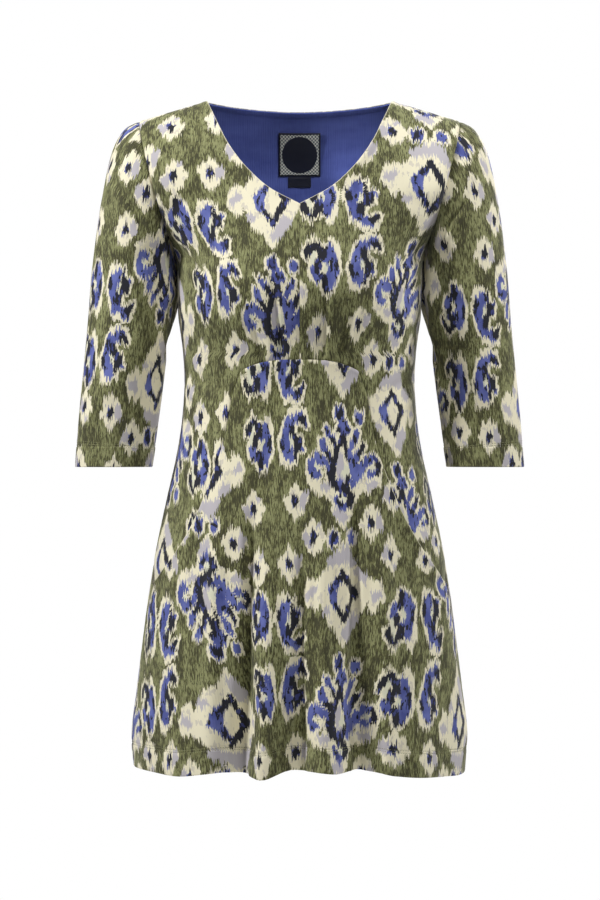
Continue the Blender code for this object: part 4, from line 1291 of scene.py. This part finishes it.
def side_sheet(side, chest, chest_flat):
    """The side of an upper front, on from the chest's last row and down behind the mouth."""
    drops = np.concatenate((SIDE_DROPS, MOUTH_DROPS, (MOUTH_END_DROP + 4, MOUTH_END_DROP + 8)))
    drops, share = drops[:, None], PAST_CORNER[None, :]
    behind = ease((drops - MOUTH_TOP_DROP - 6) / 18)
    turn = mix(turn_at(mouth_x(drops) - UNDER_SKIRT * behind, drops), np.pi / 2, share)
    at_end = ease((drops - MOUTH_END_DROP + MOUTH_RISE) / 30)
    near_mouth = 1 - np.clip((share - 0.04) / 0.15, 0, 1)
    tuck = np.maximum(near_mouth * ease((drops - MOUTH_TOP_DROP) / 7), at_end)
    inset = IN_POCKET * tuck + PAST_MOUTH * at_end
    table, flat, normals = on_body(FRONT, side * turn, drops, inset)
    top, _, first, last = from_edges(table)
    joined = 1 - ease((drops - MOUTH_TOP_DROP + 4) / 8)
    stand = seam(first, top) * joined + seam(last, top)
    table = drawn_in(table + normals * stand[..., None], False, False, True, True)
    table = np.concatenate((chest[-1:, CORNER:], table))
    return table, np.concatenate((chest_flat[-1:, CORNER:], flat))


# the node, which side it is on, where a sprig lies and how the print is drawn out
for node, side, start, drawn in (
    ("upper_front_left", 1, (136, -259), drawn_on_left),
    ("upper_front_right", -1, (-27, -281), drawn_on_right),
):
    chest = chest_sheet(side)
    sheets = [chest, side_sheet(side, *chest[:2])]
    cloth_piece(node, sheets, away_from_body, PRINTED, start=start, drawn=drawn)

# %% [markdown]
# ## The back
# The back is one piece from the neckline and shoulder seams to the hem. It could be the front
# turned round, but it has no seam across, so it is one grid of its own. It is plain, so its life
# comes from the drag towards the armpits, the creases at the hollow of the waist and the folds
# that fall from there.

# %% The back
def back():
    side_drops = np.concatenate(
        (ARMHOLE_DROPS, BUST_DROPS[:-5], np.arange(CORNER_DROP, MOUTH_END_DROP, 3.6), HEM_DROPS)
    )[:, None]
    turn = np.pi / 2 * both_ways(crowded(280, 3.9, False, True))
    x = SHOULDER_HALF_WIDTH * np.sin(turn)
    upper = mix(back_neckline(x), ARMPIT_DROP, np.clip(fallen_share(side_drops), 0, 1))
    drop = np.where(side_drops < ARMPIT_DROP, upper, hung(BACK, turn, side_drops))
    table, flat, normals = on_body(BACK, turn, drop)
    top, bottom, first, last = from_edges(table)
    at_neck = ease((NECK_HALF_WIDTH - np.abs(x)) / 6)
    stand = seam(np.minimum(first, last), top) + hem_stitching(bottom, first, HEM_DEPTH)
    stand = stand + at_neck * turned_edge(top) + (1 - at_neck) * seam(top, first)
    table = drawn_in(table + normals * stand[..., None], True, False, True, True)
    return with_turned_hem(table, flat, normals), hem_seams(table, normals, HEM_DEPTH)


sheet, hem_seams_of["back"] = back()
cloth_piece("back", [sheet], away_from_body, PRINTED, start=(-20, -300))

# %% [markdown]
# ## The sleeves
# A set-in sleeve is one piece, wider at the top than the arm, joined into a tube by a seam under
# the arm and sewn into the armhole. It could be a bent cylinder pushed against the body, but the
# tube here is swept from the armhole's own outline through plain rings to the hem, so the two meet
# all round. Creases run from the armpit round to the outside of the upper arm.

# %% Sections and folds of the sleeves
# ring number, armpit side x and drop, outer side x and drop, depth to the front and the back
SLEEVE = np.array(
    [
        (0, 159, 197, 203.4, 26, 60, 68),
        (1, 158.6, 205, 218, 32.5, 62, 69),
        (2, 158.2, 213, 227.5, 43, 63, 69),
        (3, 158, 222, 236, 59, 62, 68),
        (4, 158, 232, 243, 82, 60, 65),
        (5, 158.4, 244, 249, 112, 58, 62),
        (6, 160.4, 260, 254.5, 145, 56, 59),
        (7, 163.4, 280, 259.5, 183, 54, 56),
        (8, 166.6, 304, 264.3, 226, 52, 54),
        (9, 170.4, 334, 268, 276, 50, 51),
        (10, 174.6, 368, 272.6, 328, 48, 48),
        (11, 179.2, 404, 277.6, 382, 45, 46),
        (12, 183.6, 438, 281.4, 428, 43, 44),
        (13, 187, 463, 284, 463, 42, 43),
    ]
)
SLEEVE_HEM_DROP, SLEEVE_FORWARD = 463.0, 10.0
ARMPIT_CLEAR = 0.5  # between the sleeve and the body under the arm
BLEND_RINGS = 4  # the armhole's own shape fades out over these
SLEEVE_HEM = 25.0  # from the fold up to the first row of stitching
SLEEVE_ROW = 3.3
SLEEVE_MIDDLE = (180.0, 235.5)  # x of the arm's middle at the shoulders and at the hem
# drops, and the radius to which the flat sleeve is rolled there
SLEEVE_RADIUS = ((26, 60, 112, 183, 276, 382, 463), (44, 54, 59, 57, 53, 48.5, 45.5))
# creases as on the body, but the place across is the angle in degrees from the outer line, and the
# drop is the ring's middle one; they are mirrored for the right sleeve, with some of each one's own
SHARED_FOLDS = (
    (150, 128, 70, 240, 20, -4.2),
    (172, 157, 95, 320, 18, 3.4),
    (215, 140, 285, 265, 22, -3.8),
    (190, 262, 110, 400, 18, -3.0),
    (200, 106, 202, 272, 30, 10.5),
    (128, 150, 138, 420, 24, -4.0),
    (250, 280, 300, 430, 24, 2.4),
)
OWN_FOLDS = {
    1: (
        (124, 136, 62, 150, 7, -3.2),
        (120, 148, 58, 160, 9, 2.2),
        (150, 190, 60, 300, 13, -2.6),
        (120, 305, 40, 445, 20, 2.2),
    ),
    -1: (
        (40, 158, 122, 152, 7, -3.2),
        (36, 170, 120, 163, 9, 2.4),
        (158, 196, 74, 320, 14, -2.8),
        (100, 327, 20, 450, 22, 2.2),
    ),
}


def sleeve_forward(drop):
    """How far the lower arm hangs in front of the shoulder."""
    return SLEEVE_FORWARD * ease(drop / SLEEVE_HEM_DROP * 2 - 1)


def ring_point(ring, angle):
    """Points of the plain sleeve rings; the angle starts at the outer line and turns forward."""
    inner_x, inner_drop, outer_x, outer_drop, front, rear = (
        along(SLEEVE, column, ring) for column in range(1, 7)
    )
    depth = np.where(np.sin(angle) > 0, front, rear)
    half = (1 - np.cos(angle)) / 2
    x, drop = mix(outer_x, inner_x, half), mix(outer_drop, inner_drop, half)
    y = -depth * np.sin(angle) - sleeve_forward(inner_drop)
    return np.stack(np.broadcast_arrays(x, y, -drop), axis=-1)


def arm_middle(ring):
    return (ring_point(ring, 0.0) + ring_point(ring, np.pi)) / 2


print("Sleeve:", len(SLEEVE), "sections")


# %% The rows and columns of a sleeve
def armhole_loop():
    """The armhole from the armpit up the back and down the front, the angle of each of its points
    round the arm, and which point is the shoulder's."""
    front, rear = (body_point(face, np.pi / 2, armhole_drops(30, 26)) for face in (FRONT, BACK))
    loop = np.concatenate((rear[::-1], front[1:]))
    round_it = run_along(loop[None], 1)[0]
    tip = round_it[len(rear) - 1]
    turned = np.where(round_it < tip, round_it / tip, 1 + (round_it - tip) / (round_it[-1] - tip))
    angle = (np.pi * (1 + turned) % (2 * np.pi))[None, :]
    angle[0, 0], angle[0, -1] = np.pi, np.pi
    return loop, angle, len(rear) - 1


def sleeve_rows():
    """Ring numbers for the rows of a sleeve: close at the head, then even, then as the hem asks."""
    rings = [np.array((0, 0.06, 0.13, 0.22, 0.36, 0.55, 0.77))]
    for number in range(1, len(SLEEVE) - 3):
        reach = np.hypot(*(SLEEVE[number + 1, 3:5] - SLEEVE[number, 3:5]))
        count = max(int(round(reach / SLEEVE_ROW)), 2)
        rings.append(number + np.arange(count) / count)
    last_length = float(SLEEVE[-1, 4] - SLEEVE[-3, 4])
    above_hem = HEM_ROWS - (HEM_DEPTH - SLEEVE_HEM)
    above_hem = above_hem[above_hem > 0.4]
    upper = np.arange(last_length, above_hem[0] + 2, -SLEEVE_ROW)
    heights = np.concatenate((upper, above_hem, [0.4, 0]))
    return np.concatenate((*rings, np.interp(heights, (0, 35, last_length), (13, 12, 11))))[:, None]


ARMHOLE, ARM_ANGLE, OUTER = armhole_loop()
SLEEVE_RINGS = sleeve_rows()
print("Rows and columns of a sleeve:", len(SLEEVE_RINGS), ARM_ANGLE.size)


# %% The sleeves
def sleeve_surface(side):
    """The points and outward normals of a sleeve, swept from the armhole to the hem."""
    ring, angle = SLEEVE_RINGS, ARM_ANGLE
    point = ring_point(ring, angle)
    out = point - arm_middle(ring)
    out /= np.linalg.norm(out, axis=2, keepdims=True)
    middle_drop = (along(SLEEVE, 2, ring) + along(SLEEVE, 4, ring)) / 2
    folds = crease_depth(np.degrees(angle), middle_drop, (*SHARED_FOLDS, *OWN_FOLDS[side]))
    uneven = ripple(70 * np.sin(angle), 40 * ring + 60 * np.cos(angle), 1.3 + side)
    uneven = uneven * ease(ring / 2) * 0.8
    own = ARMHOLE[None] - ring_point(0.0, angle)
    own[..., 0] += SEAM_GAP + (ARMPIT_CLEAR - SEAM_GAP) * (1 - np.cos(angle)) / 2
    fade = (np.maximum(1 - ring / BLEND_RINGS, 0) ** 2)[..., None]
    table = point + out * (folds + uneven)[..., None] + own * fade
    table[:, -1] = table[:, 0]

    normals = sheet_normals(table, out)
    # both sides of the sleeve's own seam get the same normals, so that it stays closed
    normals[:, 0] = normals[:, -1] = normals[:, 0] + normals[:, -1]
    normals[:, 0] /= np.linalg.norm(normals[:, 0], axis=1, keepdims=True)
    normals[:, -1] = normals[:, 0]
    return table, normals


def sleeve_flat(table, bottom, side):
    """Flat places: level round the arm from its outer line, and up that line from the hem."""
    fallen = -table[..., 2]
    forward = sleeve_forward(fallen)
    middle_x = mix(*SLEEVE_MIDDLE, fallen / SLEEVE_HEM_DROP)
    round_arm = np.arctan2(-table[..., 1] - forward, table[..., 0] - middle_x)
    round_arm[:, 0], round_arm[:, -1] = -np.pi, np.pi
    height = np.interp(-fallen, table[::-1, OUTER, 2], bottom[::-1, OUTER])
    return np.stack((-side * round_arm * np.interp(fallen, *SLEEVE_RADIUS), height), axis=-1)


def sleeve(node, side, start):
    table, normals = sleeve_surface(side)
    top, bottom, first, last = from_edges(table)
    stand = seam(top, first) + 0.7 * seam(np.minimum(first, last), top)
    stand = stand + hem_stitching(bottom, first, SLEEVE_HEM) * 0.8
    table = table + normals * stand[..., None]
    flat = sleeve_flat(table, bottom, side)
    seams = hem_seams(table, normals, SLEEVE_HEM, side)
    table, flat = with_turned_hem(table, flat, normals)
    middle = arm_middle(SLEEVE_RINGS)[:, 0]

    def away_from_arm(at):
        middle_x = np.interp(-at[2], -middle[:, 2], middle[:, 0])
        return (at[0] - side * middle_x, at[1] + 6, 0.0)

    cloth_piece(node, [(table * (side, 1, 1), flat)], away_from_arm, PRINTED, start=start)
    return seams


hem_seams_of["sleeve_left"] = sleeve("sleeve_left", 1, (-172, 76))
hem_seams_of["sleeve_right"] = sleeve("sleeve_right", -1, (-40, 106))

# %% [markdown]
# ## Inside the garment
# The pocket bags hang behind the mouths, and a half-moon of plain blue jersey faces the inside of
# the back below the neckline, where a woven label is sewn to it with a small size tab below. Cloth
# this deep inside could be left out, but a mouth that stands open would then show a hole, so each
# bag is made as one layer on the same form.

# %% The pocket bags
BAG_BOTTOM, BAG_THICK = 695.0, 0.8
BAG_GAP = 0.6  # from the edge of the cloth behind the mouth


def pocket_bag(node, side, start):
    drops = np.linspace(MOUTH_TOP_DROP + 6, BAG_BOTTOM, 76)[:, None]
    outer = mouth_x(drops) - UNDER_SKIRT - BAG_GAP
    inner = mix(84, outer - 40, ease((drops - 594) / 100) ** 2)
    at_end = ease((drops - MOUTH_END_DROP + MOUTH_RISE) / 30)
    inset = IN_POCKET * ease((drops - MOUTH_TOP_DROP) / 7) + PAST_MOUTH * at_end
    turn = side * turn_at(mix(inner, outer, np.linspace(0, 1, 34)[None, :]), drops)
    sheet = on_body(FRONT, turn, drops, inset)[:2]
    cloth_piece(node, [sheet], away_from_body, PRINTED, BAG_THICK, start=start)


pocket_bag("pocket_bag_left", 1, (136, -259))
pocket_bag("pocket_bag_right", -1, (-27, -281))

# %% [markdown]
# ### Plain blue jersey
# The same knit as the printed cloth, piece-dyed in one colour. It could be a flat blue, but a knit
# takes dye unevenly, so two tones of it run in upright streaks. Its ribs show a little more than on
# the printed cloth, because no print hides them.

# %% The facing
def blue_jersey():
    material, tree, shader = new_material("piece-dyed viscose jersey, blue")
    cloth = add_node(tree, "UVMap", uv_map="flat cloth").outputs[0]
    tone = weighted(tree, streaks(tree, cloth, 60, 24, 3), (streaks(tree, cloth, 1.4, 30, 0), 0.5))
    dyed = layered(tree, hex_colour("#404e9c"), hex_colour("#6272c6"), tone, 0.0, 1.0)
    ribs = add_node(tree, "TexWave", {0: cloth, "Scale": WAVE / (RIB_SPACING * MM)})
    relief = {"Strength": 0.4, "Distance": 0.3 * MM, "Height": ribs.outputs["Fac"]}
    bump = add_node(tree, "Bump", relief).outputs[0]
    look = {"Roughness": 0.8, "Specular IOR Level": 0.25, "Sheen Weight": 0.15}
    fill(tree, shader, look | {"Base Color": dyed, "Normal": bump})
    return material


FACING_HALF_WIDTH, FACING_ENDS, FACING_BOTTOM, FACING_THICK = 160.0, 62.0, 190.0, 0.9
BEHIND_BACK = 2.0  # how far inside the back the facing lies


def back_facing():
    x = FACING_HALF_WIDTH * np.linspace(-1, 1, 110)[None, :]
    moon = np.sqrt(1 - (0.97 * np.abs(x) / FACING_HALF_WIDTH) ** 2)
    bottom = mix(FACING_ENDS, FACING_BOTTOM, moon)
    drop = mix(back_neckline(x) - 0.2, bottom, np.linspace(0, 1, 70)[:, None] ** 1.5)
    table, flat, normals = on_body(BACK, turn_at(x, drop), drop, BEHIND_BACK)
    top_edge, bottom_edge, first, _ = from_edges(table)
    stand = -turned_edge(top_edge) * 0.8 - turned_edge(np.minimum(bottom_edge, first + 3)) * 0.6
    return table + normals * stand[..., None], flat


BLUE = ("blue_jersey", (blue_jersey(),))
cloth_piece("back_neck_facing", [back_facing()], towards_body, BLUE, FACING_THICK)

# %% [markdown]
# ### The woven label
# A damask label is woven from fine polyester, dark with a pale weft for its frame, and is folded
# under and stitched down all round. Its only pattern is a plain frame about a round. An image could
# carry it, but the shader draws it from two distances, so its edges stay sharp.

# %% The label's weave
WARP = 0.9  # 0.5 mm in truth, drawn coarser to show
TWILL = 2.2  # the dots of the frame, 1 mm in truth
FRAME_HALF, ROUND_RADIUS = 25.4, 23.2


def label_frame(tree, cloth):
    """1 on the frame: inside a square and outside a round."""
    place = add_node(tree, "SeparateXYZ", {0: cloth})
    x, y = (
        add_node(tree, "Math", {0: place.outputs[axis]}, operation="ABSOLUTE").outputs[0]
        for axis in (0, 1)
    )
    square = add_node(tree, "Math", {0: x, 1: y}, operation="MAXIMUM").outputs[0]
    away = add_node(tree, "VectorMath", {0: cloth}, operation="LENGTH").outputs["Value"]
    within = add_node(tree, "Math", {0: square, 1: FRAME_HALF * MM}, operation="LESS_THAN")
    outside = add_node(tree, "Math", {0: away, 1: ROUND_RADIUS * MM}, operation="GREATER_THAN")
    both = {0: within.outputs[0], 1: outside.outputs[0]}
    return add_node(tree, "Math", both, operation="MULTIPLY").outputs[0]


def woven_label(name, framed):
    """Woven polyester ribbon, smooth and faintly shiny, with a pale weft where it is framed."""
    material, tree, shader = new_material(name)
    cloth = add_node(tree, "UVMap", uv_map="flat cloth").outputs[0]
    weave = add_node(tree, "TexChecker", {0: cloth, "Scale": 1 / (WARP * MM)}).outputs["Fac"]
    colour = layered(tree, hex_colour("#161a2c"), hex_colour("#20253c"), weave, 0.0, 1.0)
    height = weave
    if framed:
        height = label_frame(tree, cloth)
        twill = add_node(tree, "TexChecker", {0: cloth, "Scale": 1 / (TWILL * MM)}).outputs["Fac"]
        weft = layered(tree, hex_colour("#eef0e8"), hex_colour("#6c747c"), twill, 0.0, 1.0)
        colour = layered(tree, colour, weft, height, 0.0, 1.0)
    relief = {"Strength": 0.5, "Distance": 0.2 * MM, "Height": height}
    bump = add_node(tree, "Bump", relief).outputs[0]
    look = {"Roughness": 0.5, "Sheen Weight": 0.1, "Base Color": colour, "Normal": bump}
    fill(tree, shader, look)
    return material


LABEL_WEAVE = ("woven_label", (woven_label("woven polyester label, framed", True),))
TAB_WEAVE = ("woven_label", (woven_label("woven polyester tab, plain", False),))
print("Frame of the label in mm:", 2 * FRAME_HALF, "across, about a round of", 2 * ROUND_RADIUS)


# %% The label and the size tab
LABEL_INSET = 3.55  # inside the back's cloth, and so upon the facing
LABEL_THICK = 0.7


def flat_label(node, width, top, bottom, weave):
    columns, rows = np.linspace(-0.5, 0.5, 26)[None, :], np.linspace(0, 1, 26)[:, None]
    x, drop = width * columns + 0 * rows, mix(top, bottom, rows) + 0 * columns
    lift = 0.25 * np.sin(9 * columns) * rows + 0.15 * np.sin(5 * rows + 1)
    edge = np.minimum(0.5 - np.abs(columns), 0.5 - np.abs(rows - 0.5)) * width
    inset = LABEL_INSET + lift - 0.5 * bell(edge - 1.8, 0.9)
    table = worn_point(BACK, turn_at(x, drop), drop, inset)
    flat = np.stack((x, mix(0.5, -0.5, rows) * (bottom - top) + 0 * x), axis=-1)
    cloth_piece(node, [(table, flat)], towards_body, weave, LABEL_THICK)
    # the tacking runs round the label one grid line inside its edge
    inward = np.array((0, -1.0, 0)) + 0 * table
    ring = [np.s_[1, 1:-1], np.s_[1:-1, -2], np.s_[-2, 1:-1], np.s_[1:-1, 1]]
    return [(table[line], inward[line]) for line in ring]


label_seams = flat_label("neck_label", 55, 30, 85, LABEL_WEAVE)
flat_label("size_tab", 30, 85.8, 99.5, TAB_WEAVE)

# %% [markdown]
# ## The stitching
# The hems are caught by twin needles with a soft polyester thread of 0.3 mm, matched to the olive
# of the print; the label is tacked down with dark thread. Stitches could be dashes in the shader.
# Each is a small bean here, sunk into the groove that it pulls, because beans catch the light and
# follow every crease. They are drawn 0.75 mm wide, as thread of the real thickness would not show.

# %% Where the stitches lie
STITCH_PITCH = 3.4
STITCH_SIZE = np.array((2.6, 0.75, 0.5))  # length, width and height


def stitch_places(seams, lift):
    """One matrix for each stitch along the seams, which lie that far above the points given."""
    length = STITCH_SIZE[0]
    for points, normals in seams:
        run = run_along(points[None], 1)[0]
        for begin in np.arange(1.5, run[-1] - length, STITCH_PITCH):
            start, end, out = (
                Vector([np.interp(at, run, table[:, axis]) for axis in range(3)])
                for at, table in ((begin, points), (begin + length, points), (begin, normals))
            )
            out.normalize()
            ahead = (end - start).normalized()
            beside = out.cross(ahead).normalized()
            turned = Matrix((ahead, beside, ahead.cross(beside))).transposed().to_4x4()
            sizes = Matrix.Diagonal((*STITCH_SIZE / 2, 1))
            middle = (start + end) / 2 + out * lift
            yield Matrix.Translation(middle * MM) @ turned @ sizes @ Matrix.Scale(MM, 4)


print("Stitches in 100 mm:", int(100 / STITCH_PITCH))


# %% The stitches
def thread(name, code):
    """Spun polyester: matt, with a little fuzz."""
    material, tree, shader = new_material(name)
    look = {"Base Color": hex_colour(code), "Roughness": 0.55, "Sheen Weight": 0.1}
    fill(tree, shader, look)
    return material


def stitching(name, seams, material, lift):
    bm = bmesh.new()
    bmesh.ops.create_uvsphere(bm, u_segments=6, v_segments=4, radius=1)
    bean = bpy.data.meshes.new("bean")
    bm.to_mesh(bean)
    bm.clear()
    for matrix in stitch_places(seams, lift):
        placed = bean.copy()
        placed.transform(matrix)
        bm.from_mesh(placed)
        bpy.data.meshes.remove(placed)
    bpy.data.meshes.remove(bean)
    mesh = mesh_from(bm, name)
    mesh.materials.append(material)
    mesh.shade_smooth()
    piece = put(name, mesh)
    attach(piece, "root")
    print(f"{name}: {len(mesh.polygons)} faces")


OLIVE_THREAD = thread("spun polyester thread, olive", "#7d7d55")
DARK_THREAD = thread("spun polyester thread, dark", "#23283f")
for node, seams in hem_seams_of.items():
    stitching(f"{node}_hem_stitches", seams, OLIVE_THREAD, CLOTH / 2)
stitching("neck_label_stitches", label_seams, DARK_THREAD, LABEL_THICK / 2)
